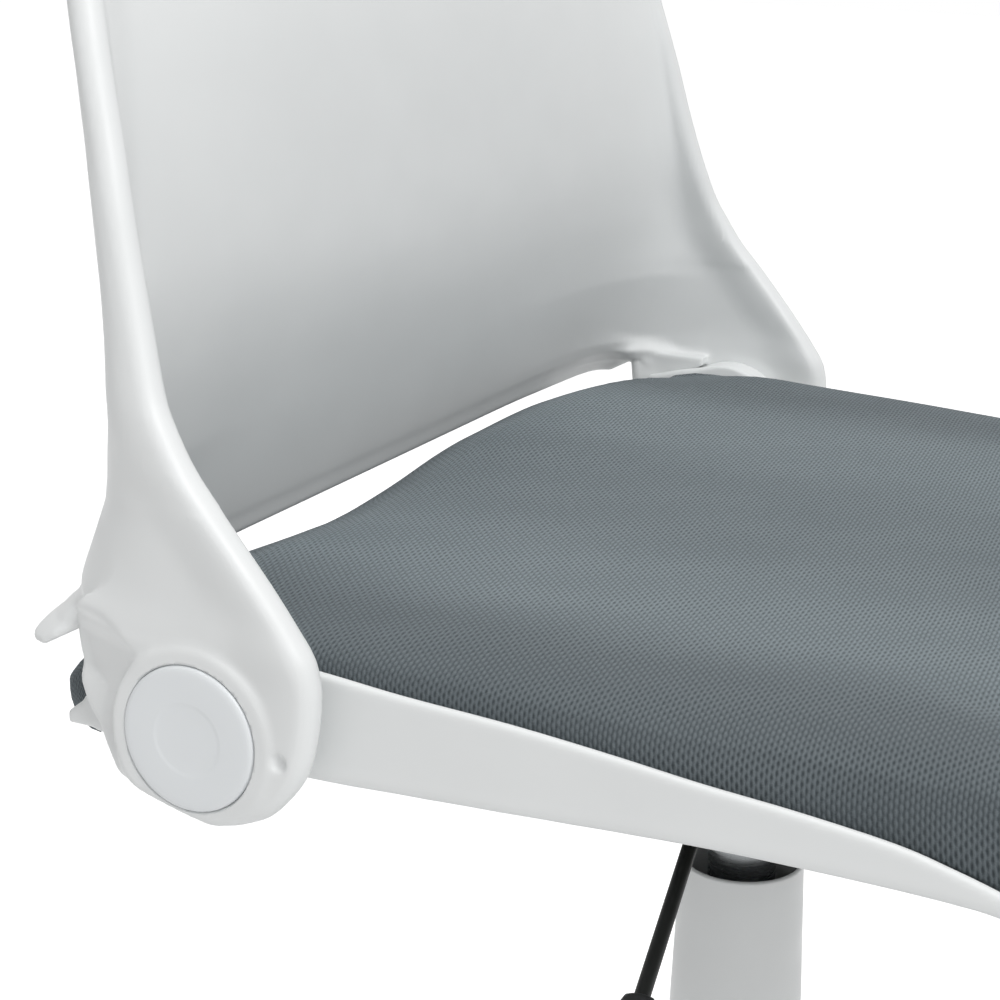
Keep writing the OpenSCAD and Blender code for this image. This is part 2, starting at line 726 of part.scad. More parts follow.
module pivot_bolts() {
    color(steel) for (s = sides) difference() {
        union() {
            hinge_disc(s, nut_face - nut_t - thread_over, pan_in, thread_r);
            hinge_disc(s, pan_in, bolt_head_face, pivot_r);
            hinge_disc(s, bolt_head_face, bolt_head_face + bolt_head_t, bolt_head_r);
        }
        hinge_disc(s, bolt_head_face + bolt_head_t / 2, bolt_head_face + bolt_head_t + overrun,
            bolt_socket_r);
    }
}
module pivot_nuts() {
    color(steel) for (s = sides) difference() {
        at_hinge() rotate([0, 90 * s, 0]) translate([0, 0, nut_face - nut_t]) rotate([0, 0, 30])
            cylinder(h = nut_t, r = nut_r, $fn = 6);
        hinge_disc(s, nut_face - nut_t - overrun, nut_face + overrun, thread_r + run_gap);
    }
}
module pivot_washers() {
    color(black) for (s = sides) difference() {
        hinge_disc(s, disc_face, disc_face + washer_t, 2 * pivot_r);
        hinge_disc(s, disc_face - overrun, disc_face + washer_t + overrun, pivot_r + run_gap);
    }
}

// Cushion: crowned top, drawn-in sides and a rear roll that wraps the board.
// Crown along the seat: share of the reach, share of the crown's height
crown_shares = [[-0.25, 0.22], [-0.22, 0.42], [-0.19, 0.62], [-0.145, 0.82], [-0.09, 1], [0, 0.96],
    [0.12, 0.87], [0.3, 0.845], [0.5, 0.82], [0.68, 0.78], [0.8, 0.7], [0.88, 0.51], [0.95, 0.245],
    [1, -0.06], [1.03, -0.31]];
// Sag of the crown towards its sides at the rear, and towards its middle further
// forward, and where the one gives way to the other
shoulder_share = 0.29;
shoulder_from_share = 0.6;
dish_share = 0.09;
dish_from_share = 0.09;
// The seam follows the rail's top, then drops round the rear roll and the nose
cushion_gap = 0.5;
seam_tuck = 2;
roll_from_share = 0.5;
roll_to_share = 0.9;
roll_seam_share = 0.3;
nose_from_share = 0.86;
nose_to_share = 0.98;
nose_seam_share = 0.1;
nose_under_share = 0.8;
board_clear = 0.35;
floor_clear = 1.2;
cushion_hw = pan_in - cushion_gap;
cushion_y0 = -rail_reach - nose_over;
cushion_mid = (cushion_y0 + roll_reach) / 2;
crown = smooth(scaled(crown_shares, -rail_reach, crown_h), 3);
function over_floor(y) = height_at(rail_low, y) + floor_t + floor_clear;
function seam_at(y) = max(over_floor(y), mix(
    mix(height_at(rail_top, y) - seam_tuck, -crown_h * nose_seam_share,
        fade(-y, rail_reach * nose_from_share, rail_reach * nose_to_share)),
    -roll_drop * roll_seam_share, fade(y, fin_reach * roll_from_share, fin_reach * roll_to_share)));
function under_at(y) =
    y > fin_reach ? -roll_drop
    : y > -rail_reach * nose_under_share ? height_at(board_top, y) + board_clear
    : over_floor(y);
function top_at(x, y) =
    let (side = abs(x) / cushion_hw,
        rear = fade(y, -rail_reach * dish_from_share, rail_reach * dish_from_share))
    height_at(crown, y) - crown_h * mix(dish_share * cos(90 * clamp(side)),
        shoulder_share * ease(side / shoulder_from_share), rear);
// Rings: share of the outline, and height share from the seam (0) to the
// underside (-1) or to the crown (1)
ring_shares = [[0.02, -1], [0.2, -1], [0.4, -1], [0.55, -1], [0.7, -1], [0.8, -1], [0.89, -1],
    [0.93, -1], [0.965, -0.92], [0.99, -0.55], [1, 0], [0.99, 0.42], [0.962, 0.76], [0.92, 0.93],
    [0.86, 1], [0.76, 1], [0.62, 1], [0.42, 1], [0.2, 1], [0.02, 1]];
cushion_plan = plan(cushion_hw, cushion_y0, roll_reach, front_corner_r, rear_corner_r, 6, 9);
function cushion_point(p, s, h) =
    let (x = p[0] * s, y = cushion_mid + (p[1] - cushion_mid) * s, e = seam_at(y))
    [x, y, h < 0 ? mix(e, under_at(y), -h) : mix(e, top_at(x, y), h)];
module seat_cushion() {
    n = len(cushion_plan);
    m = len(ring_shares);
    points = [for (r = ring_shares, p = cushion_plan) cushion_point(p, r[0], r[1])];
    hubs = [cushion_point([0, cushion_mid], 0, -1), cushion_point([0, cushion_mid], 0, 1)];
    low_fan = [for (i = [0:n - 1]) [m * n, i, (i + 1) % n]];
    high_fan = [for (i = [0:n - 1]) [m * n + 1, (m - 1) * n + (i + 1) % n, (m - 1) * n + i]];
    color(fabric_grey) at_hinge()
        polyhedron(points = concat(points, hubs), faces = concat(walls(n, m), low_fan, high_fan));
}
// Triangles between m rings of n points each
function walls(n, m) = [for (k = [0:m - 2], i = [0:n - 1])
    let (a = k * n + i, b = k * n + (i + 1) % n)
    each [[a, a + n, b], [b, a + n, b + n]]];

// Curves of the shell against height: share of the back's height, share of the
// widest half-width
width_shares = [[-0.1, 1], [0.16, 1], [0.195, 0.998], [0.232, 0.993], [0.258, 0.988], [0.277, 0.982],
    [0.32, 0.968], [0.378, 0.954], [0.43, 0.944], [0.475, 0.932], [0.522, 0.92], [0.585, 0.902],
    [0.7, 0.862], [0.85, 0.806], [1, 0.745]];
// Share of the back's height, share of the depth scale, for the rim's front
rim_shares = [[-0.1, -0.39], [0.04, -0.395], [0.077, -0.374], [0.104, -0.324], [0.131, -0.257],
    [0.159, -0.18], [0.196, -0.075], [0.217, -0.013], [0.234, 0.029], [0.258, 0.078], [0.277, 0.112],
    [0.32, 0.161], [0.379, 0.217], [0.429, 0.259], [0.474, 0.298], [0.522, 0.343], [0.585, 0.399],
    [0.7, 0.5], [0.85, 0.645], [1, 0.82]];
// The same for the rear face at the middle of the panel
rear_shares = [[-0.1, 0.76], [0.05, 0.66], [0.0875, 0.625], [0.178, 0.543], [0.265, 0.48],
    [0.35, 0.455], [0.475, 0.467], [0.5875, 0.515], [0.75, 0.65], [0.875, 0.78], [1, 0.93]];
// Squareness of the shell's plan against height
square_shares = [[-0.1, 6.5], [0.05, 6.5], [0.0875, 6], [0.178, 4.2], [0.265, 3.4], [0.35, 2.95],
    [0.475, 2.6], [0.5875, 2.4], [1, 2.2]];

// Back shell: a U-shaped section at each height, with a rounded rim
shell_rows = 22;
corner_rows = 6;
shell_cols = 32;
rim_angles = [30, 60, 90, 120, 150];
width_line = smooth(scaled(width_shares, back_h, shell_hw), 3);
rim_line = smooth(scaled(rim_shares, back_h, shell_depth), 3);
rear_line = smooth(scaled(rear_shares, back_h, shell_depth), 3);
square_line = scaled(square_shares, back_h, 1);
corner_z = back_h - top_corner_r;
shell_heights = concat([for (k = [0:shell_rows]) mix(panel_low, corner_z, k / shell_rows)],
    [for (k = [1:corner_rows]) corner_z + top_corner_r * sin(90 * k / corner_rows)]);
function corner_cut(z) =
    let (t = max(0, z - corner_z)) top_corner_r - sqrt(max(0, top_corner_r * top_corner_r - t * t));
function half_width(z) = lookup(z, width_line) - rim_r - corner_cut(z);
function rim_y(z) = lookup(z, rim_line) + rim_r;
function rear_y(z) = lookup(z, rear_line) - shell_wall / 2;
// Middle surface of the shell at height z, at the angle a from the left rim
// (0) round the back to the right rim (180)
function mid_point(z, a) =
    let (q = 2 / lookup(z, square_line), c = cos(a), s = sin(a))
    [sign(c) * pow(abs(c), q) * half_width(z), rim_y(z) + pow(abs(s), q) * (rear_y(z) - rim_y(z))];
function mid_normal(z, a) =
    let (e = 2 - 2 / lookup(z, square_line), w = half_width(z), d = max(rear_y(z) - rim_y(z), rim_r / 3),
        v = [sign(cos(a)) * pow(abs(cos(a)), e) / w, pow(abs(sin(a)), e) / d])
    v / norm(v);
function half_wall(z, a) =
    let (p = mid_point(z, a), edge = [sign(p[0]) * half_width(z), rim_y(z)])
    mix(rim_r, shell_wall / 2, ease(norm(p - edge) / rim_blend));
function shell_point(z, a, side) =
    let (p = mid_point(z, a) + side * half_wall(z, a) * mid_normal(z, a)) [p[0], p[1], z];
function rim_point(z, s, a) = [s * (half_width(z) + rim_r * cos(a)), rim_y(z) - rim_r * sin(a), z];
function shell_ring(z) = concat(
    [for (k = [0:shell_cols]) shell_point(z, 180 * k / shell_cols, 1)],
    [for (a = rim_angles) rim_point(z, -1, a)],
    [for (k = [shell_cols:-1:0]) shell_point(z, 180 * k / shell_cols, -1)],
    [for (a = rim_angles) rim_point(z, 1, 180 - a)]);
module shell_body() {
    n = 2 * (shell_cols + 1) + 2 * len(rim_angles);
    m = len(shell_heights);
    function inner(k) = 2 * shell_cols + 1 + len(rim_angles) - k;
    floor_strip = [for (k = [0:shell_cols - 1])
        each [[k, k + 1, inner(k)], [k + 1, inner(k + 1), inner(k)]]];
    right_end = [for (i = [shell_cols:shell_cols + 1 + len(rim_angles)]) i];
    left_end = concat([for (i = [inner(0):n - 1]) i], [0]);
    floor_faces = concat(floor_strip, [right_end, left_end]);
    top_faces = [for (f = floor_faces) [for (i = reversed(f)) i + (m - 1) * n]];
    polyhedron(points = [for (z = shell_heights) each shell_ring(z)],
        faces = concat(walls(n, m), floor_faces, top_faces));
}
// Outline of the lobe, the stop that rests over the pan's lug, and the tab at
// the panel's lower corner, as shares of the lobe's size
lobe_shares = [[-0.78, 0.98], [-0.935, 0.65], [-0.985, 0.48], [-0.995, 0.33], [-0.955, 0.06],
    [-0.875, -0.19], [-0.68, -0.435], [-0.51, -0.55], [-0.24, -0.63], [0.125, -0.57], [0.56, -0.4],
    [0.71, -0.27], [0.8, -0.085], [0.87, 0.315], [0.935, 0.71], [0.9, 0.98]];
stop_shares = [[0.44, 0.28], [1.08, 0.28], [1.09, 0.6], [0.9, 0.65], [0.3, 0.66]];
tab_shares = [[1.4, 0.52], [1.3, 0.465], [1, 0.64], [0.78, 0.84], [1.08, 0.815]];
tab_in = 214;
lobe = smooth(lobe_r * lobe_shares, 3);
stop_low = lug_z + face_gap;
module stop_block(s) {
    at_hinge() side_slab(s, pan_hw + free_gap, wing_in + overrun)
        polygon([for (p = stop_shares * lobe_r) [p[0], max(p[1], stop_low)]]);
}
module corner_tab(s) {
    at_hinge() side_slab(s, tab_in, wing_in)
        polygon(tab_shares * lobe_r);
}
module back_shell() {
    color(white) difference() {
        union() {
            at_hinge() shell_body();
            for (s = sides) {
                at_hinge() side_slab(s, wing_in + wing_inset, wing_out - wing_inset) polygon(lobe);
                intersection() {
                    hinge_disc(s, wing_in + shell_wall / 2, ring_face, ring_r);
                    at_hinge() side_slab(s, wing_in, ring_face + overrun) polygon(lobe);
                }
                corner_tab(s);
                stop_block(s);
            }
        }
        for (s = sides) {
            hinge_disc(s, pan_hw - overrun, wing_in + wing_inset, disc_r + free_gap);
            difference() {
                hinge_disc(s, recess_floor, ring_face + overrun, recess_r);
                hinge_disc(s, recess_floor - overrun, boss_face, boss_r);
            }
            hinge_disc(s, wing_in - overrun, boss_face + overrun, pivot_r + bush_wall);
        }
    }
}
module pivot_bushes() {
    color(white) for (s = sides) difference() {
        union() {
            hinge_disc(s, wing_in + wing_inset, boss_face, pivot_r + bush_wall - run_gap / 2);
            hinge_disc(s, boss_face, boss_face + bush_flange_t, boss_r);
        }
        hinge_disc(s, wing_in - overrun, boss_face + bush_flange_t + overrun, pivot_r + run_gap);
    }
}
module hinge_cap(s) {
    color(white) difference() {
        union() {
            hinge_disc(s, recess_floor + run_gap, cap_face - cap_edge, cap_r);
            at_hinge() rotate([0, 90 * s, 0]) cone(cap_face - cap_edge, cap_face, cap_r, cap_r - cap_edge);
        }
        hinge_disc(s, recess_floor, cap_face - cap_t, cap_r - cap_skirt_t);
    }
}
module left_hinge_cap() { hinge_cap(1); }
module right_hinge_cap() { hinge_cap(-1); }

// Casters: stem, housing with hood, axle and twin wheels
stem_r = 5.5;
stem_len = 22;
stem_seat = 14;
stem_flange_t = 3;
stem_flange_w = 3;
boss_drop = 4;
boss_w = 4;
housing_r = 19;
axle_r = 3;
axle_seat_gap = 0.025;
web_t = 11;
wheel_gap = 1;
hood_gap = 2;
hood_t = 2.5;
hood_low = 2.5;
tread_r = 3;
wheel_rim = 6;
dish_d = 2;
wheel_hub = 5;
hub_step = 1;
hub_cap_t = 4;
wheel_r = wheel_d / 2;
hood_r = wheel_r + hood_gap + hood_t;
caster_yaws = [80, 65, 95, 70, 88];
module at_caster(i) {
    at_leg(i) translate([base_r, 0, 0]) rotate([0, 0, caster_yaws[i - 1]]) children();
}
module at_axle() { translate([-caster_trail, 0, wheel_r]) rotate([90, 0, 0]) children(); }
module caster_stem(i) {
    color(steel) at_caster(i) union() {
        post(caster_rise - stem_seat, caster_rise + stem_len, stem_r);
        post(caster_rise - stem_flange_t, caster_rise - face_gap, stem_r + stem_flange_w);
    }
}
module caster_housing(i) {
    color(black) at_caster(i) difference() {
        union() {
            at_axle() cylinder(h = web_t, r = housing_r, center = true);
            at_axle() intersection() {
                cylinder(h = web_t + 2 * (wheel_gap + wheel_w), r = hood_r, center = true);
                translate([-hood_r, hood_low, -hood_r]) cube([2 * hood_r, hood_r, 2 * hood_r]);
            }
            post(wheel_r, caster_rise - boss_drop, stem_r + boss_w);
        }
        for (s = sides) at_axle() translate([0, 0, s * (web_t + wheel_gap + 2 * wheel_w) / 2])
            cylinder(h = wheel_gap + 2 * wheel_w, r = wheel_r + hood_gap, center = true);
        at_axle() cylinder(h = web_t + overrun, r = axle_r + axle_seat_gap, center = true);
        post(caster_rise - stem_seat, caster_rise, stem_r + axle_seat_gap);
    }
}
module caster_axle(i) {
    color(steel) at_caster(i) at_axle()
        cylinder(h = web_t + 2 * wheel_gap + wheel_w, r = axle_r, center = true);
}
module caster_wheel(i, s) {
    half = wheel_w / 2;
    bore_r = axle_r + run_gap;
    hub_face = half - hub_step;
    color(black) at_caster(i) at_axle() translate([0, 0, s * (web_t / 2 + wheel_gap + half)])
        rotate([0, s > 0 ? 0 : 180, 0]) rotate_extrude($fn = 96) polygon(concat(
            [[bore_r, -half], [wheel_r - tread_r, -half]],
            arc(wheel_r - tread_r, tread_r - half, tread_r, -90, 0, 6),
            arc(wheel_r - tread_r, half - tread_r, tread_r, 0, 90, 6),
            [[wheel_r - wheel_rim, half], [wheel_r - wheel_rim - dish_d, half - dish_d],
                [axle_r + wheel_hub, half - dish_d], [axle_r + wheel_hub - hub_step, hub_face],
                [0, hub_face], [0, hub_face - hub_cap_t], [bore_r, hub_face - hub_cap_t]]));
}

star_base();
gas_cylinder();
guide_sleeve();
lower_cover();
retaining_clip();
caster_sockets();
middle_cover();
piston_rod();
thrust_bearing();
pressure_tube();
top_cover();
seat_plate();
taper_socket();
lever_bracket();
lever_pin();
plate_bolts();
post_inserts();
seat_pan();
seat_board();
board_screws();
seat_cushion();
left_hinge_bracket();
right_hinge_bracket();
bracket_bolts();
pivot_bolts();
pivot_nuts();
pivot_washers();
lever_rod();
lever_handle();
valve_button();
back_shell();
pivot_bushes();
left_hinge_cap();
right_hinge_cap();
for (i = [1:legs]) {
    caster_stem(i);
    caster_housing(i);
    caster_axle(i);
    caster_wheel(i, 1);
    caster_wheel(i, -1);
}
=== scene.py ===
"""Looks of the fold-down task chair. Lengths are in millimetres until a mesh is made."""
import math

import bpy
import numpy as np
from mathutils import Matrix, Vector
from mathutils.bvhtree import BVHTree


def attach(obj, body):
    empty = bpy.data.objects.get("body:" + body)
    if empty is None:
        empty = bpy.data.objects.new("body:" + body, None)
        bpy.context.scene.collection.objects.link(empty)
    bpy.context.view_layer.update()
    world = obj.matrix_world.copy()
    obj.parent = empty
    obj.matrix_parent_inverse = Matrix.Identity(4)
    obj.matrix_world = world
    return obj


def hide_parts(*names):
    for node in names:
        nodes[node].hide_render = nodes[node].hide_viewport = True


CLOTH_FRAMES = 20
# how often a net is pulled onto its surface, how far at most, and the flattest slope it's pulled by
NET_PULLS, NET_STEP, NET_FLATTEST = 3, 0.6, 0.2

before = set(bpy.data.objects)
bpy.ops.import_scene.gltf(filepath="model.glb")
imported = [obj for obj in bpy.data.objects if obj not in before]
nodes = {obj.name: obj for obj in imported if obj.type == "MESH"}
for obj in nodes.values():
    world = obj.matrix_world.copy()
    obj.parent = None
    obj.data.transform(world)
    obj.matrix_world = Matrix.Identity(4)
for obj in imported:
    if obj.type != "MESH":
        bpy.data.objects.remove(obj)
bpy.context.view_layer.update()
scene = bpy.context.scene

# -------------------------------------------------- camera
CAMERA_AT = (-0.8625986, -0.3126408, 0.7545656)
LOOK = Vector((0.85977973, 0.42592609, -0.28171934))
RIGHT = Vector((0.44824376, -0.89375451, 0.01674553))
UP = Vector((0.24465557, 0.1406764, 0.95935072))
camera = bpy.data.objects.new("camera", bpy.data.cameras.new("camera"))
scene.collection.objects.link(camera)
camera.data.lens = 86.4
camera.data.sensor_width = 36.0
camera.data.clip_start = 0.05
camera.data.clip_end = 60.0
turn = Matrix((RIGHT, UP, -LOOK)).transposed().to_4x4()
camera.matrix_world = Matrix.Translation(CAMERA_AT) @ turn
scene.camera = camera

# -------------------------------------------------- small tools
# the middle of the hinge's axis, from which all shapes above the column are measured
HINGE = np.array([0.0, 104.0, 455.0])


def smooth(points, n):
    """Catmull-Rom curve through points, with n steps between each two."""
    p = np.asarray(points, float)
    out = []
    for i in range(len(p) - 1):
        a, b, c, d = p[max(i - 1, 0)], p[i], p[i + 1], p[min(i + 2, len(p) - 1)]
        for k in range(n):
            t = k / n
            out.append((2 * b + (c - a) * t + (2 * a - 5 * b + 4 * c - d) * t**2
                        + (3 * b - a - 3 * c + d) * t**3) / 2)
    return np.array(out + [p[-1]])


def line_of(shares, a, b, n=6):
    """A smooth line from a table of shares, sorted by its first column."""
    p = smooth(np.asarray(shares, float) * [a, b], n)
    return p[np.argsort(p[:, 0], kind="stable")]


def at(line, v):
    return np.interp(v, line[:, 0], line[:, 1])


def mix(a, b, t):
    return a + (b - a) * t


def ease(v):
    v = np.clip(v, 0, 1)
    return v * v * (3 - 2 * v)


def fade(v, a, b):
    return ease((v - a) / (b - a))


def smin(a, b, k):
    h = np.maximum(k - np.abs(a - b), 0) / k
    return np.minimum(a, b) - h * h * k / 4


def smax(a, b, k):
    return -smin(-a, -b, k)


def round_both(a, b, r):
    """Inside of both a and b, with an edge of radius r."""
    u, v = a + r, b + r
    return np.minimum(np.maximum(u, v), 0) + np.hypot(np.maximum(u, 0), np.maximum(v, 0)) - r


def outline_distance(points, y, z):
    """Signed distance from (y, z) to a closed outline, negative inside."""
    p = np.asarray(points, float)
    q = np.roll(p, -1, axis=0)
    best = np.full(np.broadcast(y, z).shape, 1e18)
    odd = np.zeros(best.shape, bool)
    for (ay, az), (by, bz) in zip(p, q):
        ey, ez = by - ay, bz - az
        wy, wz = y - ay, z - az
        t = np.clip((wy * ey + wz * ez) / (ey * ey + ez * ez + 1e-12), 0, 1)
        best = np.minimum(best, (wy - t * ey) ** 2 + (wz - t * ez) ** 2)
        if az != bz:
            odd ^= ((az > z) != (bz > z)) & (y < ay + (z - az) / (bz - az) * ey)
    return np.where(odd, -1, 1) * np.sqrt(best)


def link(name, verts, faces, origin=HINGE):
    """A smooth-shaded mesh object from points in millimetres."""
    mesh = bpy.data.meshes.new(name)
    metres = (np.asarray(verts, float) + origin) / 1000
    mesh.from_pydata(metres.tolist(), [], [tuple(map(int, f)) for f in faces])
    mesh.validate()
    obj = bpy.data.objects.new(name, mesh)
    scene.collection.objects.link(obj)
    mesh.polygons.foreach_set("use_smooth", [True] * len(mesh.polygons))
    return obj


def ring_quads(steps, rows, closed=False):
    """Quads between rows of points that go once round, the last joined to the first if closed."""
    faces = []
    for k in range(rows if closed else rows - 1):
        low, high = k * steps, (k + 1) % rows * steps
        for i in range(steps):
            j = (i + 1) % steps
            faces.append((low + i, low + j, high + j, high + i))
    return faces


def facing(faces, side):
    """The faces as they are on the left, or turned over for the mirrored right."""
    return faces if side > 0 else [face[::-1] for face in faces]


def apply_modifiers(obj):
    dg = bpy.context.evaluated_depsgraph_get()
    mesh = bpy.data.meshes.new_from_object(obj.evaluated_get(dg))
    old = obj.data
    obj.modifiers.clear()
    obj.data = mesh
    mesh.name = old.name
    bpy.data.meshes.remove(old)


def points_of(mesh):
    """A mesh's points, one to a row."""
    flat = np.empty(len(mesh.vertices) * 3)
    mesh.vertices.foreach_get("co", flat)
    return flat.reshape(-1, 3)


def at_most(moves, length):
    """Moves, one to a row, with those that are longer cut down to a length."""
    size = np.linalg.norm(moves, axis=1)
    return moves * np.minimum(1, length / np.maximum(size, 1e-9))[:, None]


def surface_net(field, axes):
    """Quads round the zero level of a field sampled on a grid, then pulled onto it."""
    xs, ys, zs = axes
    nx, ny, nz = field.shape
    inside = field < 0

    def part(a, c):
        return a[c[0]:nx - 1 + c[0], c[1]:ny - 1 + c[1], c[2]:nz - 1 + c[2]]

    corners = [(i, j, k) for i in (0, 1) for j in (0, 1) for k in (0, 1)]
    count = sum(part(inside, c).astype(np.int8) for c in corners)
    active = (count > 0) & (count < 8)
    where = np.argwhere(active)
    index = np.full(active.shape, -1)
    index[active] = np.arange(len(where))
    total, hits = np.zeros((len(where), 3)), np.zeros(len(where))

    def corner(c):
        i = where + c
        return field[i[:, 0], i[:, 1], i[:, 2]], np.stack([xs[i[:, 0]], ys[i[:, 1]], zs[i[:, 2]]], 1)

    for a in corners:
        for axis in range(3):
            if a[axis]:
                continue
            b = list(a)
            b[axis] = 1
            (fa, pa), (fb, pb) = corner(a), corner(b)
            cross = (fa < 0) != (fb < 0)
            t = fa[cross] / (fa[cross] - fb[cross])
            total[cross] += pa[cross] + t[:, None] * (pb[cross] - pa[cross])
            hits[cross] += 1
    verts = total / hits[:, None]
    faces = []
    for axis in range(3):
        o1, o2 = [(1, 2), (2, 0), (0, 1)][axis]
        lo = [slice(None)] * 3
        hi = [slice(None)] * 3
        lo[axis], hi[axis] = slice(0, -1), slice(1, None)
        flips = inside[tuple(lo)] != inside[tuple(hi)]
        first = inside[tuple(lo)]
        for o in (o1, o2):
            edge = [slice(None)] * 3
            edge[o] = slice(0, 1)
            flips[tuple(edge)] = False
            edge[o] = slice(-1, None)
            flips[tuple(edge)] = False
        ijk = np.argwhere(flips)
        out = first[ijk[:, 0], ijk[:, 1], ijk[:, 2]]
        s1, s2 = np.zeros(3, int), np.zeros(3, int)
        s1[o1], s2[o2] = 1, 1
        ring = [ijk - s1 - s2, ijk - s2, ijk, ijk - s1]
        quad = np.stack([index[r[:, 0], r[:, 1], r[:, 2]] for r in ring], 1)
        quad[~out] = quad[~out][:, ::-1]
        faces.append(quad)
    faces = np.concatenate(faces)
    slope = np.gradient(field, *axes)

    def sample(a, p):
        i = [np.clip(np.searchsorted(ax, p[:, n]) - 1, 0, len(ax) - 2) for n, ax in enumerate(axes)]
        t = [np.clip((p[:, n] - ax[i[n]]) / (ax[i[n] + 1] - ax[i[n]]), 0, 1) for n, ax in enumerate(axes)]
        value = 0
        for c in corners:
            w = np.ones(len(p))
            for n in range(3):
                w *= t[n] if c[n] else 1 - t[n]
            value += w * a[i[0] + c[0], i[1] + c[1], i[2] + c[2]]
        return value

    for _ in range(NET_PULLS):
        g = np.stack([sample(s, verts) for s in slope], 1)
        f = sample(field, verts)
        step = -f[:, None] * g / np.maximum((g * g).sum(1), NET_FLATTEST)[:, None]
        verts += at_most(step, NET_STEP)
    return verts, faces


MID_STEP = 5  # the grids' step where a net crosses x = 0


def mirrored(verts, faces):
    """The half of a net with x > 0 and its mirror image, joined at x = 0."""
    keep = verts[:, 0] > 0.1 - MID_STEP
    verts[np.abs(verts[:, 0]) < 0.1 + MID_STEP / 2, 0] = 0
    side = verts[faces][:, :, 0].mean(1) > 0.01
    faces = faces[side & keep[faces].all(1)]
    n = len(verts)
    twin = np.where(verts[:, 0] == 0, np.arange(n), np.arange(n) + n)
    both = np.concatenate([verts, verts * [-1, 1, 1]])
    faces = np.concatenate([faces, twin[faces][:, ::-1]])
    used = np.unique(faces)
    renumber = np.full(len(both), -1)
    renumber[used] = np.arange(len(used))
    return both[used], renumber[faces]


def grid_line(*parts):
    """Grid positions from (start, end, step) stretches that follow one another."""
    out = []
    for a, b, step in parts:
        n = max(1, round((b - a) / step))
        out += [a + (b - a) * i / n for i in range(n)]
    return np.array(out + [parts[-1][1]])


# -------------------------------------------------- back shell
BACK_H, SHELL_HW, DEPTH, WALL, RIM_R, RIM_BLEND = 400.0, 250.0, 120.0, 6.0, 6.0, 26.0
PANEL_LOW, CORNER_R, PANEL_EDGE_R = 20.0, 64.0, 2.9
CAP_R, RING_R, WING_IN, WING_OUT, RING_FACE = 25.4, 31.0, 241.0, 247.0, 249.3
PAN_HW, DISC_R = 232.0, 29.5
WIDTHS = [[-0.1, 1], [0.16, 1], [0.195, 0.998], [0.232, 0.993], [0.258, 0.988], [0.277, 0.982],
          [0.32, 0.968], [0.378, 0.954], [0.43, 0.944], [0.475, 0.932], [0.522, 0.92],
          [0.585, 0.902], [0.7, 0.862], [0.85, 0.806], [1, 0.745]]
RIMS = [[-0.1, -0.39], [0.04, -0.395], [0.077, -0.374], [0.104, -0.324], [0.131, -0.257],
        [0.159, -0.18], [0.196, -0.075], [0.217, -0.013], [0.234, 0.029], [0.258, 0.078],
        [0.277, 0.112], [0.32, 0.161], [0.379, 0.217], [0.429, 0.259], [0.474, 0.298],
        [0.522, 0.343], [0.585, 0.399], [0.7, 0.5], [0.85, 0.645], [1, 0.82]]
REARS = [[-0.1, 0.76], [0.05, 0.66], [0.0875, 0.625], [0.178, 0.543], [0.265, 0.48],
         [0.35, 0.455], [0.475, 0.467], [0.5875, 0.515], [0.75, 0.65], [0.875, 0.78], [1, 0.93]]
SQUARES = [[-0.1, 24], [0.045, 24], [0.055, 17], [0.065, 10.5], [0.078, 7.4], [0.092, 6.4],
           [0.178, 4.2], [0.265, 3.4], [0.35, 2.95], [0.475, 2.6], [0.5875, 2.4], [1, 2.2]]
width_line = line_of(WIDTHS, BACK_H, SHELL_HW)
rim_line = line_of(RIMS, BACK_H, DEPTH)
rear_line = line_of(REARS, BACK_H, DEPTH)
square_line = np.array(SQUARES) * [BACK_H, 1]
# where the wing's outer face starts to step inwards: height, distance behind the axis
STEP_FROM = np.array([[-30, 38], [-18, 30], [-12, 26.5], [-6, 22.5], [2, 19.5], [10, 18.5], [18, 19],
                      [25, 21.2], [32, 28.6], [40, 37], [46, 45], [60, 60]], float)
STEP_SLOPE, STEP_LOW, STEP_DEEP = 0.42, 8.4, 12
# the corner below the panel's free end that is cut away: rise per length, y at its end, its length
CUT_RISE, CUT_END, CUT_LEN = 0.55, 66, 15
# points of a section's curve and of its even line; what counts as far, and as near a piece of it
CURVE_POINTS, LINE_POINTS, FAR, NEAR_BY = 241, 90, 50.0, 18


def step_in(y, z):
    """How far the wing's lower rear part is set in towards the seat."""
    deepest = mix(STEP_LOW, STEP_DEEP, fade(z, 8, 15))
    step = np.minimum(STEP_SLOPE * (y - np.interp(z, STEP_FROM[:, 0], STEP_FROM[:, 1])), deepest)
    step = smax(step, 0 * step, 1.2)
    behind = fade(y, 48, 62)
    return step * (1 - fade(z, mix(31, 22, behind), mix(40, 50, behind))) * (1 - 0.5 * behind)


def half_width(z):
    t = max(0.0, z - (BACK_H - CORNER_R))
    cut = CORNER_R - math.sqrt(max(0.0, CORNER_R**2 - t * t))
    return at(width_line, z) - RIM_R - cut


def shell_section(z):
    """Middle line of the shell at height z, from its rim to the middle of the back."""
    a = np.radians(np.linspace(0, 90, CURVE_POINTS))
    q = 2 / at(square_line, z)
    w, front, rear = half_width(z), at(rim_line, z) + RIM_R, at(rear_line, z) - WALL / 2
    p = np.stack([np.cos(a) ** q * w, front + np.sin(a) ** q * (rear - front)], 1)
    p[-1, 0] = 0
    along = np.r_[0, np.cumsum(np.hypot(*np.diff(p, axis=0).T))]
    even = np.linspace(0, along[-1], LINE_POINTS)
    return np.stack([np.interp(even, along, p[:, 0]), np.interp(even, along, p[:, 1])], 1)


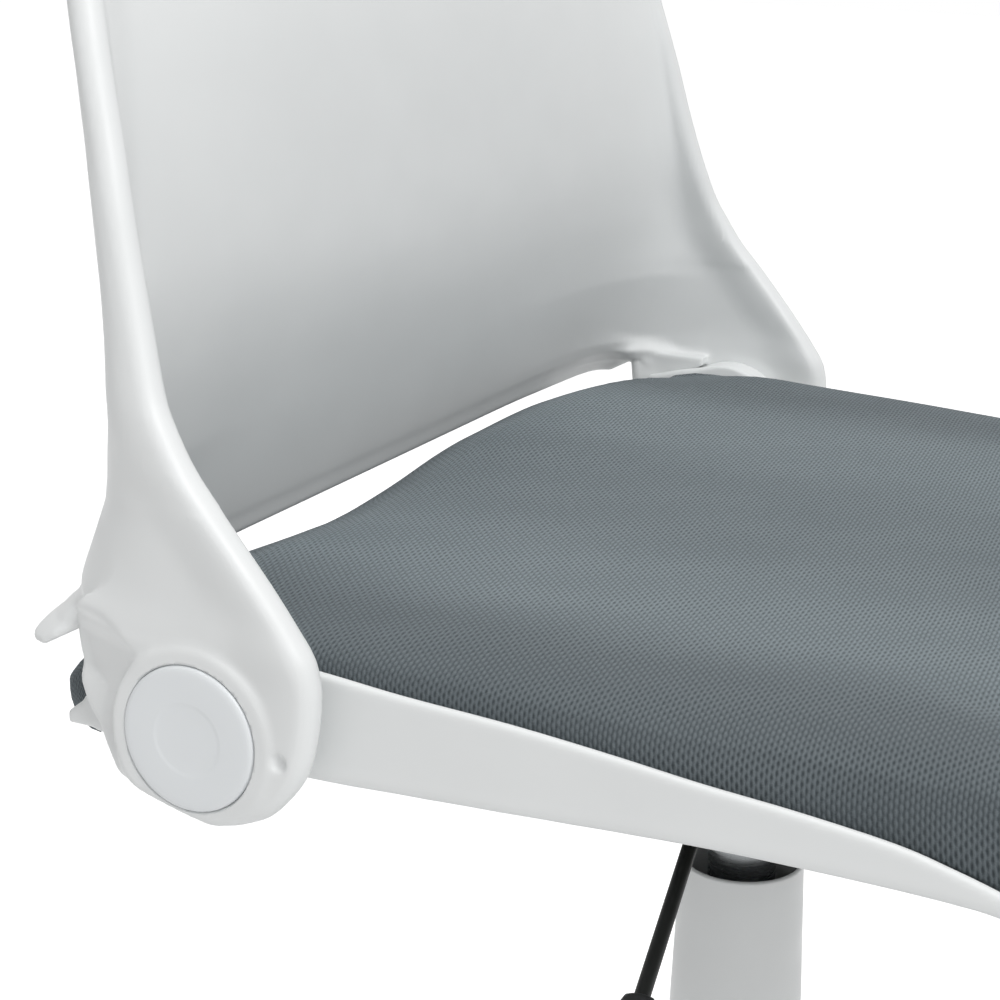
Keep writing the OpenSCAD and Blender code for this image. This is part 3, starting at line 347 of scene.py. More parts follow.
def shell_field(xs, ys, zs):
    """Distance to the U-shaped body of the back, slice by slice."""
    field = np.full((len(xs), len(ys), len(zs)), FAR)
    gx, gy = np.meshgrid(xs, ys, indexing="ij")
    for k, z in enumerate(zs):
        if z > BACK_H + 8 or z < -50:
            continue
        p = shell_section(min(z, BACK_H - 0.01))
        from_rim = np.hypot(*(p - p[0]).T)
        half = mix(RIM_R, WALL / 2, ease(from_rim / RIM_BLEND))
        best = np.full(gx.shape, FAR)
        sx = gx + step_in(gy, z)
        for i in range(len(p) - 1):
            a, b = p[i], p[i + 1]
            e = b - a
            near = (np.abs(sx - a[0]) < NEAR_BY) & (np.abs(gy - a[1]) < NEAR_BY)
            if not near.any():
                continue
            wx, wy = sx[near] - a[0], gy[near] - a[1]
            t = np.clip((wx * e[0] + wy * e[1]) / (e @ e + 1e-12), 0, 1)
            d = np.hypot(wx - t * e[0], wy - t * e[1]) - mix(half[i], half[i + 1], t)
            best[near] = np.minimum(best[near], d)
        field[:, :, k] = best
    return field


LOBE_FRONT = [(-25, 57), (-34, 47.8), (-41.4, 36.5), (-44.9, 30.2), (-46.6, 23), (-46.9, 15.5),
              (-45, 2.8), (-41.1, -8.9), (-32, -20.4), (-24, -25.9), (-11.3, -29.6), (5.9, -26.8)]
LOBE_REAR = [(26.3, -20.5), (35, -14.5), (42, -8), (47.5, -0.5), (50.2, 8), (51.8, 18),
             (52.6, 27), (51, 35), (45, 44), (36, 57)]
PAD = [(14.1, 31), (20.5, 14.2), (50, 13.2), (53, 28), (42.3, 31)]
PAD_FRONT, PAD_LOW, PAD_TOP, PAD_FREE_R = 14.5, -20, 31, 30.7
DIMPLE_AT, DIMPLE_R = (251.2, -34.5, -1.5), 3.6


def lobe_field(xs, ys, zs):
    gx, gy, gz = np.meshgrid(xs, ys, zs, indexing="ij", sparse=True)
    outline = smooth(LOBE_FRONT + LOBE_REAR, 4)
    flat = outline_distance(outline, gy[0], gz[0])[None]
    # the rim's bead runs down the front of the lobe and dies out under it
    angle = np.degrees(np.arctan2(gz, -gy))
    bead = fade(angle, -75, -25) * fade(-gy, -12, 12)
    edge = mix(WALL / 2, RIM_R, bead)
    inward = -flat - edge
    half = mix(edge, WALL / 2, ease(inward / RIM_BLEND))
    sx = gx + step_in(gy, gz)
    plate = np.hypot(np.minimum(inward, 0), sx - WING_IN - WALL / 2) - half + 6 * fade(gz, 30, 54)
    # the pad that stops the back, behind the pan's disc
    from_axis = np.hypot(gy, gz)
    pad_flat = outline_distance(PAD, gy[0], gz[0])[None]
    behind = np.maximum(np.maximum(flat, PAD_FRONT - gy), np.maximum(PAD_LOW - gz, gz - PAD_TOP))
    pad_flat = np.maximum(np.minimum(np.maximum(pad_flat, flat), behind), PAD_FREE_R - from_axis)
    pad = round_both(pad_flat, np.maximum(PAN_HW + 0.5 - gx, sx - WING_OUT), 1.2)
    body = smin(plate, pad, 2.5)
    dx, dy, dz = DIMPLE_AT
    dimple = np.sqrt((gx - dx) ** 2 + (gy - dy) ** 2 + (gz - dz) ** 2) - DIMPLE_R
    body = smax(body, -dimple, 0.6)
    ring = round_both(from_axis - RING_R, np.maximum(gx - RING_FACE, WING_IN + 1 - gx), 1.2)
    ring = round_both(ring, flat + 0.2, 1.5)
    return smin(body, ring, 4)


def back_mesh():
    xs = grid_line((-2 * MID_STEP, 150, MID_STEP), (150, 208, 2.5), (208, 253, 1.1))
    ys = grid_line((-60, 74, 1.1), (74, 122, 1.6))
    zs = grid_line((-40, 56, 1.1), (56, 90, 2.2), (90, 330, 4), (330, 412, 2))
    body = shell_field(xs, ys, zs)
    gx, gy, gz = np.meshgrid(xs, ys, zs, indexing="ij", sparse=True)
    body = round_both(body, gz - BACK_H, PANEL_EDGE_R)
    # the opening under the panel has round corners
    low = PANEL_LOW - 2 * fade(gx, 120, 230)
    # and the wing's free corner behind the strip is cut away towards the strip
    low = low + CUT_RISE * np.clip(CUT_END - gy, 0, CUT_LEN) * fade(gx, 212, 224) * fade(gy, 40, 48)
    body = round_both(body, low - gz, PANEL_EDGE_R)
    field = smin(body, lobe_field(xs, ys, zs), 0.01 + 5 * fade(gz, 20, 40))
    return mirrored(*surface_net(field, (xs, ys, zs)))


def lathe(profile, side, steps=128):
    """Closed surface turned about the hinge's axis from (radius, x) points."""
    profile = np.asarray(profile, float)
    a = np.radians(np.linspace(0, 360, steps, endpoint=False))
    verts = [(side * x, r * np.cos(t), r * np.sin(t)) for r, x in profile for t in a]
    m = len(profile)
    ends = [tuple(range(steps))[::-1], tuple(range((m - 1) * steps, m * steps))]
    return verts, facing(ring_quads(steps, m) + ends, side)


def carve(obj, cutter):
    """Cut a closed mesh out of an object."""
    cut = obj.modifiers.new("cut", "BOOLEAN")
    cut.operation = "DIFFERENCE"
    cut.solver = "EXACT"
    cut.object = cutter
    apply_modifiers(obj)
    bpy.data.objects.remove(cutter)


back = link("back_moulding", *back_mesh())
# the cap's recess: its gap all round, its floor, and the chamfer at its mouth
CAP_GAP, RECESS_FLOOR, MOUTH, CHAMFER = 0.2, 243.5, 248.9, 0.65
bore = [(CAP_R + CAP_GAP, RECESS_FLOOR), (CAP_R + CAP_GAP, MOUTH), (CAP_R + CHAMFER, 249.4),
        (CAP_R + CHAMFER, 256)]
for side in (-1, 1):
    carve(back, link("bore", *lathe(bore, side)))
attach(back, "back")
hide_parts("back_shell")

# -------------------------------------------------- seat pan
REACH, RISE, DROP, FIN, CORNER_F = 345.0, 27.0, 13.0, 62.5, 62.0
PAN_IN, DISC_FACE, PLATE_TOP = 227.0, 240.6, -42.0
# the skirt under the pan: half its length and width, its wall, and its posts' places, radius and bore
SKIRT_X, SKIRT_Y, SKIRT_WALL, POST_X, POST_Y, POST_R, POST_BORE = 85, 100, 4, 72, 82, 11, 6.5
RAIL_TOP = [[-0.12, 0.74], [-0.05, 0.97], [0, 0.99], [0.11, 0.9], [0.2, 0.795], [0.31, 0.71],
            [0.41, 0.59], [0.5, 0.46], [0.59, 0.36], [0.68, 0.22], [0.73, 0.07], [0.775, -0.095],
            [0.84, -0.39], [0.91, -0.71], [1, -1.1]]
RAIL_TAIL = [[1, -0.2], [1, -0.13], [0.91, -0.06], [0.83, 0.05], [0.72, 0.2]]
RAIL_LOW = [[0, 1], [0.11, 1.01], [0.2, 0.92], [0.31, 0.8], [0.49, 0.59], [0.6, 0.56],
            [0.715, 0.61], [0.775, 0.73], [0.84, 1.12], [0.91, 1.73], [1, 2.6]]
rail_top = smooth(np.array(RAIL_TOP) * [-REACH, RISE], 4)
rail_low = smooth(np.array(RAIL_LOW) * [-REACH, -DROP], 4)
rail_tail = np.array(RAIL_TAIL) * FIN
rail_side = np.concatenate([rail_tail, rail_top, rail_low[::-1]])
floor_low = np.concatenate([[[50, -DROP]], rail_low])
floor_side = np.concatenate([floor_low, (floor_low + [0, 4])[::-1]])
top_line, low_line = rail_top[np.argsort(rail_top[:, 0])], rail_low[np.argsort(rail_low[:, 0])]


def pan_mesh():
    xs = grid_line((-2 * MID_STEP, 55, MID_STEP), (55, 92, 1.6), (92, 216, 5), (216, 243, 1.1))
    ys = grid_line((-348, -280, 2), (-280, -36, 3), (-36, 68, 1.6))
    zs = grid_line((-46, -38, 2), (-38, 32, 1.1))
    gx, gy, gz = np.meshgrid(xs, ys, zs, indexing="ij", sparse=True)
    # plan: straight sides and round front corners
    u = gx - (PAN_HW - CORNER_F)
    v = (-REACH + CORNER_F) - gy
    plan = np.minimum(np.maximum(u, v), 0) + np.hypot(np.maximum(u, 0), np.maximum(v, 0)) - CORNER_F
    rail = outline_distance(rail_side, gy[0], gz[0])[None]
    rail = round_both(rail, np.maximum(PAN_IN - gx, gx - PAN_HW), 2.4)
    base = outline_distance(floor_side, gy[0], gz[0])[None]
    base = np.maximum(base, gx - PAN_HW + 1)
    tray = round_both(smin(rail, base, 2.5), plan, 1.8)
    from_axis = np.hypot(gy, gz)
    disc = round_both(from_axis - DISC_R, np.maximum(PAN_IN - gx, gx - DISC_FACE), 0.9)
    low = np.interp(gy, low_line[:, 0], low_line[:, 1]) + 2
    under = np.maximum(gz - low, PLATE_TOP - gz)
    ay = np.abs(gy + HINGE[1])
    skirt = np.maximum(gx - SKIRT_X, ay - SKIRT_Y)
    skirt = np.maximum(skirt, -(skirt + SKIRT_WALL))
    from_post = np.hypot(gx - POST_X, ay - POST_Y)
    posts, bore = from_post - POST_R, from_post - POST_BORE
    carried = round_both(np.maximum(np.minimum(skirt, posts), -bore), under, 0.8)
    field = smin(smin(tray, disc, 2), carried, 3)
    return mirrored(*surface_net(field, (xs, ys, zs)))


pan = link("seat_pan_moulding", *pan_mesh())
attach(pan, "seat")
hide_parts("seat_pan")

# -------------------------------------------------- cushion
CROWN_H, ROLL_REACH, ROLL_DROP, NOSE_OVER, CORNER_B = 35.0, 86.0, 27.0, 5.0, 42.0
CROWN = [[-0.25, 0.22], [-0.22, 0.42], [-0.19, 0.62], [-0.145, 0.82], [-0.09, 1], [0, 0.96],
         [0.12, 0.87], [0.3, 0.845], [0.5, 0.82], [0.68, 0.78], [0.8, 0.7], [0.88, 0.51],
         [0.95, 0.245], [1, -0.06], [1.03, -0.31]]
BOARD_TOP = [[-0.142, 0.56], [0.17, 0.5], [0.3, 0.4], [0.4, 0.31], [0.5, 0.22], [0.59, 0.14],
             [0.695, 0.08]]
RINGS = [[0.02, -1], [0.4, -1], [0.55, -1], [0.7, -1], [0.86, -1], [0.91, -1], [0.965, -0.92],
         [0.99, -0.55], [1, 0], [0.99, 0.42], [0.962, 0.76], [0.92, 0.93], [0.86, 1], [0.76, 1],
         [0.62, 1], [0.42, 1], [0.2, 1], [0.02, 1]]
CUSHION_HW = 226.5
CUSHION_Y0 = -REACH - NOSE_OVER
CUSHION_MID = (CUSHION_Y0 + ROLL_REACH) / 2
crown_line = line_of(CROWN, -REACH, CROWN_H)
board_line = line_of(BOARD_TOP, -REACH, RISE)

# Sag against the share of the half-width, at the rear and further forward; height added along
# the seat; height added to the rear roll; unevenness of the padding across the rear
SAG_REAR = smooth([[0, 0.069], [0.15, 0.071], [0.3, 0.072], [0.45, 0.058], [0.6, 0.067],
                   [0.75, 0.147], [0.9, 0.281], [1.01, 0.429]], 5)
SAG_FRONT = smooth([[0, 0.09], [0.3, 0.08], [0.6, 0.053], [0.75, 0.034], [0.9, 0.02], [1.01, 0]], 5)
CROWN_MORE = smooth([[-345, -1.0], [-150, -0.36], [-60, 0.65], [-20, -0.09], [10, -0.16], [30, -0.24],
                     [45, -0.58], [65, -1.06], [85, -2.14]], 5)
ROLL_MORE = smooth([[0, -4.16], [0.12, -3.41], [0.25, -2.27], [0.4, -1.34], [0.55, 0], [0.7, 0.48],
                    [1.01, 0.58]], 5)
UNEVEN = smooth([[-226, 1.6], [-150, -0.1], [-95, -3.5], [-50, -4.0], [-10, -1.4], [35, 2.7],
                 [70, 3.05], [110, 2.2], [150, 0.6], [190, 0.25], [226, 0.2]], 5)


def seam_at(y):
    rail = mix(at(top_line, y) - 2, -CROWN_H * 0.1, fade(-y, REACH * 0.86, REACH * 0.98))
    seam = mix(rail, -ROLL_DROP * 0.3, fade(y, FIN * 0.5, FIN * 0.9))
    return np.maximum(seam, at(low_line, y) + 5.2)


def under_at(y):
    on_board = at(board_line, y) + 0.6
    on_floor = at(low_line, y) + 5.2
    low = mix(on_board, on_floor, fade(-y, REACH * 0.72, REACH * 0.8))
    return mix(low, -ROLL_DROP, fade(y, 51, FIN + 4))


def top_at(x, y):
    side = np.abs(x) / CUSHION_HW
    rear = fade(y, -REACH * 0.09, REACH * 0.09)
    height = at(crown_line, y) - CROWN_H * mix(at(SAG_FRONT, side), at(SAG_REAR, side), rear)
    height = height + at(CROWN_MORE, y) + at(ROLL_MORE, side) * fade(y, 46, 70)
    return height + at(UNEVEN, x) * fade(y, -20, 45)


def cushion_plan(n=14, side=40):
    """Round-cornered outline, evenly spaced, as (x, y)."""
    hw, y0, y1, rf, rr = CUSHION_HW, CUSHION_Y0, ROLL_REACH, CORNER_F, CORNER_B

    def arc(cx, cy, r, a0):
        a = np.radians(np.linspace(a0, a0 + 90, n + 1))
        return np.stack([cx + r * np.cos(a), cy + r * np.sin(a)], 1)

    loop = np.concatenate([arc(hw - rf, y0 + rf, rf, -90), arc(hw - rr, y1 - rr, rr, 0),
                           arc(rr - hw, y1 - rr, rr, 90), arc(rf - hw, y0 + rf, rf, 180)])
    loop = np.concatenate([loop, loop[:1]])
    along = np.r_[0, np.cumsum(np.hypot(*np.diff(loop, axis=0).T))]
    even = np.linspace(0, along[-1], 4 * side + 1)[:-1]
    return np.stack([np.interp(even, along, loop[:, 0]), np.interp(even, along, loop[:, 1])], 1)


def cushion_mesh():
    plan = cushion_plan()
    rings = smooth(RINGS, 3)
    n, m = len(plan), len(rings)
    s, h = rings[:, 0][:, None], rings[:, 1][:, None]
    x = plan[None, :, 0] * s
    y = CUSHION_MID + (plan[None, :, 1] - CUSHION_MID) * s
    seam, top, low = seam_at(y), top_at(x, y), under_at(y)
    z = np.where(h < 0, mix(seam, low, -h), mix(seam, top, h))
    verts = np.stack([x, y, z], 2).reshape(-1, 3)
    faces = ring_quads(n, m)
    verts = np.concatenate([verts, [[0, CUSHION_MID, under_at(np.array(CUSHION_MID))],
                                    [0, CUSHION_MID, top_at(0, np.array(CUSHION_MID))]]])
    for i in range(n):
        faces.append((m * n, (i + 1) % n, i))
        faces.append((m * n + 1, (m - 1) * n + i, (m - 1) * n + (i + 1) % n))
    return verts, faces


# How the cover is simulated: the even mesh's step, how far a point may go, the share that is kept,
# the heights above the seam between which it comes in, and how often the swell is smoothed
EVEN_STEP, MOST_MOVE, KEPT_SHARE, FROM_SEAM, OVER_SEAM, SWELL_ROUNDS = 0.0055, 0.006, 0.55, 3, 14, 160
CLOTH_SET = {"quality": 6, "mass": 0.25, "tension_stiffness": 60, "compression_stiffness": 60,
             "shear_stiffness": 25, "bending_stiffness": 2.5, "use_pressure": True,
             "uniform_pressure_force": 4.0}


def even_copy(obj):
    """A copy of an object with an even mesh, which cloth needs."""
    form = bpy.data.objects.new("padding", obj.data.copy())
    scene.collection.objects.link(form)
    remesh = form.modifiers.new("even", "REMESH")
    remesh.mode = "VOXEL"
    remesh.voxel_size = EVEN_STEP
    apply_modifiers(form)
    return form


def pressed_out(form, held):
    """Where the cover's points are after the padding has pressed it out, as cloth under pressure."""
    form.vertex_groups.new(name="held").add(held.tolist(), 1.0, "ADD")
    cloth = form.modifiers.new("padding", "CLOTH")
    cloth.settings.vertex_group_mass = "held"
    for key, value in CLOTH_SET.items():
        setattr(cloth.settings, key, value)
    cloth.settings.effector_weights.gravity = 0
    cloth.collision_settings.use_collision = False
    for frame_number in range(1, CLOTH_FRAMES + 1):
        scene.frame_set(frame_number)
    points = points_of(form.evaluated_get(bpy.context.evaluated_depsgraph_get()).to_mesh())
    form.modifiers.clear()
    scene.frame_set(1)
    return points


def local_part(move, mesh):
    """A move without its smoothed self: the form has the swell of the whole cushion already."""
    ends = np.empty(len(mesh.edges) * 2, int)
    mesh.edges.foreach_get("vertices", ends)
    one, two = ends.reshape(-1, 2).T
    ones, twos = np.concatenate([one, two]), np.concatenate([two, one])
    near = np.maximum(np.bincount(ones, minlength=len(move)), 1)[:, None]
    swell = move.copy()
    for _ in range(SWELL_ROUNDS):
        around = np.stack([np.bincount(ones, swell[twos, n], len(move)) for n in range(3)], 1) / near
        swell = 0.4 * swell + 0.6 * around
    return move - swell


def settle(obj):
    """Gives the cushion's form the local rise and fall of its cover, a few millimetres at most."""
    form = even_copy(obj)
    start = points_of(form.data)
    # the cover is held below its seam, where it is stapled to the board
    mm = start * 1000 - HINGE
    held = np.flatnonzero(mm[:, 2] < seam_at(mm[:, 1]) + 2)
    move = local_part(pressed_out(form, held) - start, form.data)
    move[held] = 0
    move = at_most(move, MOST_MOVE)
    quads = [tuple(face.vertices) for face in form.data.polygons]
    even = BVHTree.FromPolygons([Vector(point) for point in start], quads)
    bpy.data.meshes.remove(form.data)
    finer = obj.modifiers.new("finer", "SUBSURF")
    finer.subdivision_type = "SIMPLE"
    finer.levels = finer.render_levels = 1
    apply_modifiers(obj)
    points = points_of(obj.data)
    shift = np.zeros(points.shape)
    for n, point in enumerate(points):
        corners = list(quads[even.find_nearest(Vector(point))[2]])
        weight = 1 / (np.linalg.norm(start[corners] - point, axis=1) + 1e-5)
        shift[n] = weight @ move[corners] / weight.sum()
    rise = points[:, 2] * 1000 - HINGE[2] - seam_at(points[:, 1] * 1000 - HINGE[1])
    shift *= KEPT_SHARE * fade(rise, FROM_SEAM, OVER_SEAM)[:, None]
    obj.data.vertices.foreach_set("co", inside_seat(points + shift).ravel())
    obj.data.polygons.foreach_set("use_smooth", [True] * len(obj.data.polygons))


BOARD_END = 50


def inside_seat(points):
    """Keeps the cushion clear of the rails, the board and the pan's floor."""
    p = points * 1000 - HINGE
    p[:, 0] = np.clip(p[:, 0], -CUSHION_HW, CUSHION_HW)
    y = np.minimum(p[:, 1], BOARD_END - 1)
    low = np.where(p[:, 1] < BOARD_END, np.minimum(under_at(y), seam_at(y)), -ROLL_DROP)
    p[:, 2] = np.maximum(p[:, 2], low)
    p[:, 1] = np.minimum(p[:, 1], ROLL_REACH)
    return (p + HINGE) / 1000


cushion = link("cushion", *cushion_mesh())
settle(cushion)
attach(cushion, "seat")
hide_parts("seat_cushion")

# -------------------------------------------------- hinge caps
CAP = [(CAP_R - 0.6, 243.65), (CAP_R, 244.2), (CAP_R, 248.9), (CAP_R - 0.15, 249.4),
       (CAP_R - 0.5, 249.85), (CAP_R - 1.1, 250.2), (CAP_R - 2.0, 250.38), (CAP_R - 3.5, 250.45),
       (13.4, 250.46), (12.8, 250.42), (12.2, 250.28), (11.4, 250.22), (5, 250.25), (0.4, 250.26)]
caps = {}
for side, word in ((1, "left"), (-1, "right")):
    cap = link(f"{word}_cap", *lathe(CAP, side, steps=160))
    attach(cap, "back")
    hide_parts(f"{word}_hinge_cap")
    caps[word] = cap

# -------------------------------------------------- column covers
FLOOR = np.array([0.0, 0.0, 0.0])


def turned(name, profile, steps=112):
    """Closed surface turned about the gas lift's axis from a loop of (radius, height) points."""
    profile = np.asarray(profile, float)
    a = np.radians(np.linspace(0, 360, steps, endpoint=False))
    verts = np.concatenate([np.stack([r * np.cos(a), r * np.sin(a), z + 0 * a], 1) for r, z in profile])
    return link(name, verts, ring_quads(steps, len(profile), closed=True), FLOOR)


def cover_profile(z0, z1, r0, r1, wall, lip):
    """Outside up, over the rounded top and down the inside."""
    a = np.radians(np.linspace(0, 90, 7))
    top = np.stack([r1 - lip + lip * np.cos(a), z1 - lip + lip * np.sin(a)], 1)
    foot = [(r0 - 0.5, z0), (r0, z0 + 0.5)]
    inner = [(r1 - wall - lip * 0.3, z1 - 0.4), (r1 - wall - lip * 0.3, z1 - 2), (r1 - wall, z1 - 3.4),
             (r0 - wall, z0 + 0.5), (r0 - wall + 0.3, z0)]
    return np.concatenate([foot, [(mix(r0, r1, 0.5), mix(z0, z1, 0.5))], top, inner])


COVERS = {"top": ("seat", 223.0, 335.0, 28.93, 25.5), "middle": ("cover", 150.0, 256.0, 33.87, 30.63),
          "lower": ("base", 124.1, 183.0, 37.37, 35.57)}
covers = {}
for word, (body, z0, z1, r0, r1) in COVERS.items():
    piece = turned(f"{word}_cover_sleeve", cover_profile(z0, z1, r0, r1, 1.4, 1.3))
    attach(piece, body)
    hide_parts(f"{word}_cover")
    covers[word] = piece

# -------------------------------------------------- lever handle
PIVOT = np.array([-30.0, 1.1, 390.0])
SWING, SLOPE, LEVER_REACH, HANDLE_LEN = math.radians(9.5), math.radians(20.5), 195.0, 64.0
TIP_X, TIP_R, NECK_R, NECK_LEN, ROD_BORE, ROD_DEPTH = 51, 12.9, 4.4, 24, 3.05, 42
along = np.array([-math.cos(SLOPE) * math.cos(SWING), -math.cos(SLOPE) * math.sin(SWING), -math.sin(SLOPE)])
across = np.array([math.sin(SWING), -math.cos(SWING), 0.0])
up = np.cross(across, along)
up = up if up[2] > 0 else -up


def handle_mesh():
    """A flat paddle with round edges and a hollow for the finger, in the lever's own axes."""
    axes = grid_line((-3, 68, 1.1)), grid_line((-16, 16, 1.1)), grid_line((-7, 7, 0.9))
    gx, gy, gz = np.meshgrid(*axes, indexing="ij", sparse=True)
    half = np.interp(gx, [0, 14, TIP_X], [5.4, 10.4, TIP_R])
    tip = np.hypot(np.maximum(gx - TIP_X, 0), gy) - TIP_R
    flat = np.where(gx > TIP_X, tip, np.abs(gy) - half)
    flat = np.maximum(flat, -gx)
    thick = 4.4 - 0.9 * fade(gx, 12, 60)
    dish = 0.9 * np.exp(-((gx - 40) / 15) ** 2 - (gy / 7) ** 2)
    field = round_both(flat, np.maximum(gz - thick, -gz - thick + dish), 2.6)
    from_rod = np.hypot(gy, gz)
    neck = round_both(from_rod - NECK_R, np.maximum(-gx, gx - NECK_LEN), 1.0)
    field = smin(field, neck, 4)
    field = np.maximum(field, -np.maximum(from_rod - ROD_BORE, gx - ROD_DEPTH))
    verts, faces = surface_net(field, axes)
    verts[:, 0] += LEVER_REACH - HANDLE_LEN
    world_at = PIVOT + verts[:, :1] * along + verts[:, 1:2] * across + verts[:, 2:] * up
    if np.linalg.det(np.stack([along, across, up])) < 0:
        faces = faces[:, ::-1]
    return world_at, faces


handle = link("handle_paddle", *handle_mesh(), FLOOR)
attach(handle, "lever")
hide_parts("lever_handle")

# -------------------------------------------------- star base
BASE_R, HUB_BASE, HUB_TOP, HUB_R, LEG_HW, TIP_HW, LEG_WALL = 285.0, 62.0, 124.0, 39.0, 22.0, 16.0, 7
SOCKET_R, SOCKET_TOP, BORE_LOW_R, BORE_FLARE, BORE_FROM, BORE_LEN = 7.05, 83, 22.95, 1.6, 61, 64
LEG_TOP_AT, LEG_TOP_Z = [0, 31, 57, 130, 205, 262, 301], [118, 118, 112, 103, 94.5, 88, 84.5]
HOLLOW_FROM, HOLLOW_TO = 48, 262


def base_mesh():
    """Five legs with crowned tops that run into the hub, hollow underneath."""
    xs = grid_line((-306, 306, 2.9))
    zs = grid_line((56, 130, 2.2))
    gx, gy, gz = np.meshgrid(xs, xs, zs, indexing="ij", sparse=True)
    turn_by = 2 * np.pi / 5
    angle = np.arctan2(gy, gx) - np.pi / 2
    angle = angle - turn_by * np.round(angle / turn_by)
    r = np.hypot(gx, gy)
    lx, ly = r * np.cos(angle), r * np.sin(angle)
    top = np.interp(lx, LEG_TOP_AT, LEG_TOP_Z)
    half = np.interp(lx, [0, BASE_R], [LEG_HW, TIP_HW])
    flat = np.where(lx > BASE_R, np.hypot(lx - BASE_R, ly) - TIP_HW, np.abs(ly) - half)
    crown = top - 0.012 * ly**2
    leg = round_both(flat, np.maximum(gz - crown, HUB_BASE + 2 - gz), 4.5)
    hollow = np.maximum(np.abs(ly) - half + LEG_WALL, np.maximum(HOLLOW_FROM - lx, lx - HOLLOW_TO))
    hollow = round_both(hollow, gz - crown + 6, 3)
    leg = np.maximum(leg, -hollow)
    hub = round_both(r - HUB_R, np.maximum(gz - HUB_TOP, HUB_BASE - gz), 2.5)
    field = smin(leg, hub, 7)
    bore = r - (BORE_LOW_R + (gz - BORE_FROM) / BORE_LEN * BORE_FLARE)
    field = np.maximum(field, -bore)
    socket = np.maximum(np.hypot(lx - BASE_R, ly) - SOCKET_R, gz - SOCKET_TOP)
    field = np.maximum(field, -socket)
    return surface_net(field, (xs, xs, zs))


star = link("star_moulding", *base_mesh(), FLOOR)
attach(star, "base")
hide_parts("star_base")

# -------------------------------------------------- casters
WHEEL_R, WHEEL_W, WEB_T, TRAIL, YAWS = 25.0, 18.0, 11.0, 18.0, (80, 65, 95, 70, 88)
HOOD_R, HOOD_HW, HOOD_OPEN, WELL_R, WEB_R, AXLE_R = 29.4, 24.4, 2.6, 27.0, 19, 3.05
STEM_NECK_R, NECK_TOP, STEM_R, STEM_FROM = 9.4, 53.9, 5.55, 44
TREAD = [(3.15, -9), (21.4, -9), (22.2, -8.4), (23.6, -7.9), (24.6, -6.6), (25, -4.6), (25, -0.9),
         (24.55, -0.35), (24.55, 0.35), (25, 0.9), (25, 4.6), (24.6, 6.6), (23.6, 7.9), (22.2, 8.5),
         (20.6, 9), (19.6, 8.8), (18.8, 7.1), (17.4, 6.7), (10.2, 6.9), (9.2, 7.5), (8.2, 8.6),
         (6.4, 8.9), (1.2, 8.9), (1.2, 4.2), (3.15, 4.2)]


def caster_frame(i):
    """Turns points about a caster's own axes, (trail, across, height), into the world."""
    leg = math.radians(90 + 72 * i)
    yaw = leg + math.radians(YAWS[i - 1])
    centre = np.array([BASE_R * math.cos(leg), BASE_R * math.sin(leg), 0])
    fore = np.array([math.cos(yaw), math.sin(yaw), 0])
    wide = np.array([-math.sin(yaw), math.cos(yaw), 0])
    return lambda p: centre + p[:, :1] * fore + p[:, 1:2] * wide + p[:, 2:] * np.array([0, 0, 1])


def hood_mesh():
    """Twin hood over the wheels with a web between them and a neck for the stem."""
    axes = grid_line((-52, 18, 1.9)), grid_line((-26, 26, 1.9)), grid_line((3, 58, 1.9))
    gx, gy, gz = np.meshgrid(*axes, indexing="ij", sparse=True)
    r = np.hypot(gx + TRAIL, gz - WHEEL_R)
    outer = round_both(r - HOOD_R, np.abs(gy) - HOOD_HW, 3.4)
    outer = np.maximum(outer, WHEEL_R + HOOD_OPEN - gz)
    wells = np.maximum(r - WELL_R, WEB_T / 2 - np.abs(gy))
    web = round_both(r - WEB_R, np.abs(gy) - 5.4, 1)
    from_stem = np.hypot(gx, gy)
    neck = round_both(from_stem - STEM_NECK_R, np.maximum(WHEEL_R - gz, gz - NECK_TOP), 1.2)
    field = np.maximum(smin(smin(outer, web, 2), neck, 4), -wells)
    field = np.maximum(field, AXLE_R - r)
    return surface_net(np.maximum(field, -np.maximum(from_stem - STEM_R, STEM_FROM - gz)), axes)


def wheel_mesh(side):
    """A wheel turned about the caster's axle from its tread's section."""
    a = np.radians(np.linspace(0, 360, 72, endpoint=False))
    rings = []
    for radius, out in TREAD:
        # wide is to the caster's left, and the axle's own axis points to its right
        y = -side * (WEB_T / 2 + 1 + WHEEL_W / 2 + out)
        rings.append(np.stack([-TRAIL + radius * np.cos(a), y + 0 * a, WHEEL_R + radius * np.sin(a)], 1))
    return np.concatenate(rings), facing(ring_quads(len(a), len(TREAD), closed=True), side)


hood_verts, hood_faces = hood_mesh()
hoods, wheels = [], []
for i in range(1, 6):
    put = caster_frame(i)
    hood = link(f"caster_{i}_hood", put(hood_verts), hood_faces, FLOOR)
    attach(hood, f"caster_{i}")
    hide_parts(f"caster_{i}_housing")
    hoods.append(hood)
    for side, word in ((1, "left"), (-1, "right")):
        wheel_verts, wheel_faces = wheel_mesh(side)
        wheel = link(f"caster_{i}_{word}_tyre", put(wheel_verts), wheel_faces, FLOOR)
        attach(wheel, f"caster_{i}_{word}_wheel")
        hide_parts(f"caster_{i}_{word}_wheel")
        wheels.append(wheel)

# -------------------------------------------------- materials
def node(tree, kind, inputs=None, **settings):
    """A shader node with its settings, and its sockets linked or set."""
    n = tree.nodes.new(kind)
    for key, value in settings.items():
        setattr(n, key, value)
    for key, value in (inputs or {}).items():
        if isinstance(value, bpy.types.NodeSocket):
            tree.links.new(value, n.inputs[key])
        else:
            n.inputs[key].default_value = value
    return n


def maths(tree, operation, a, b=0.0, c=0.0):
    return node(tree, "ShaderNodeMath", {0: a, 1: b, 2: c}, operation=operation).outputs[0]


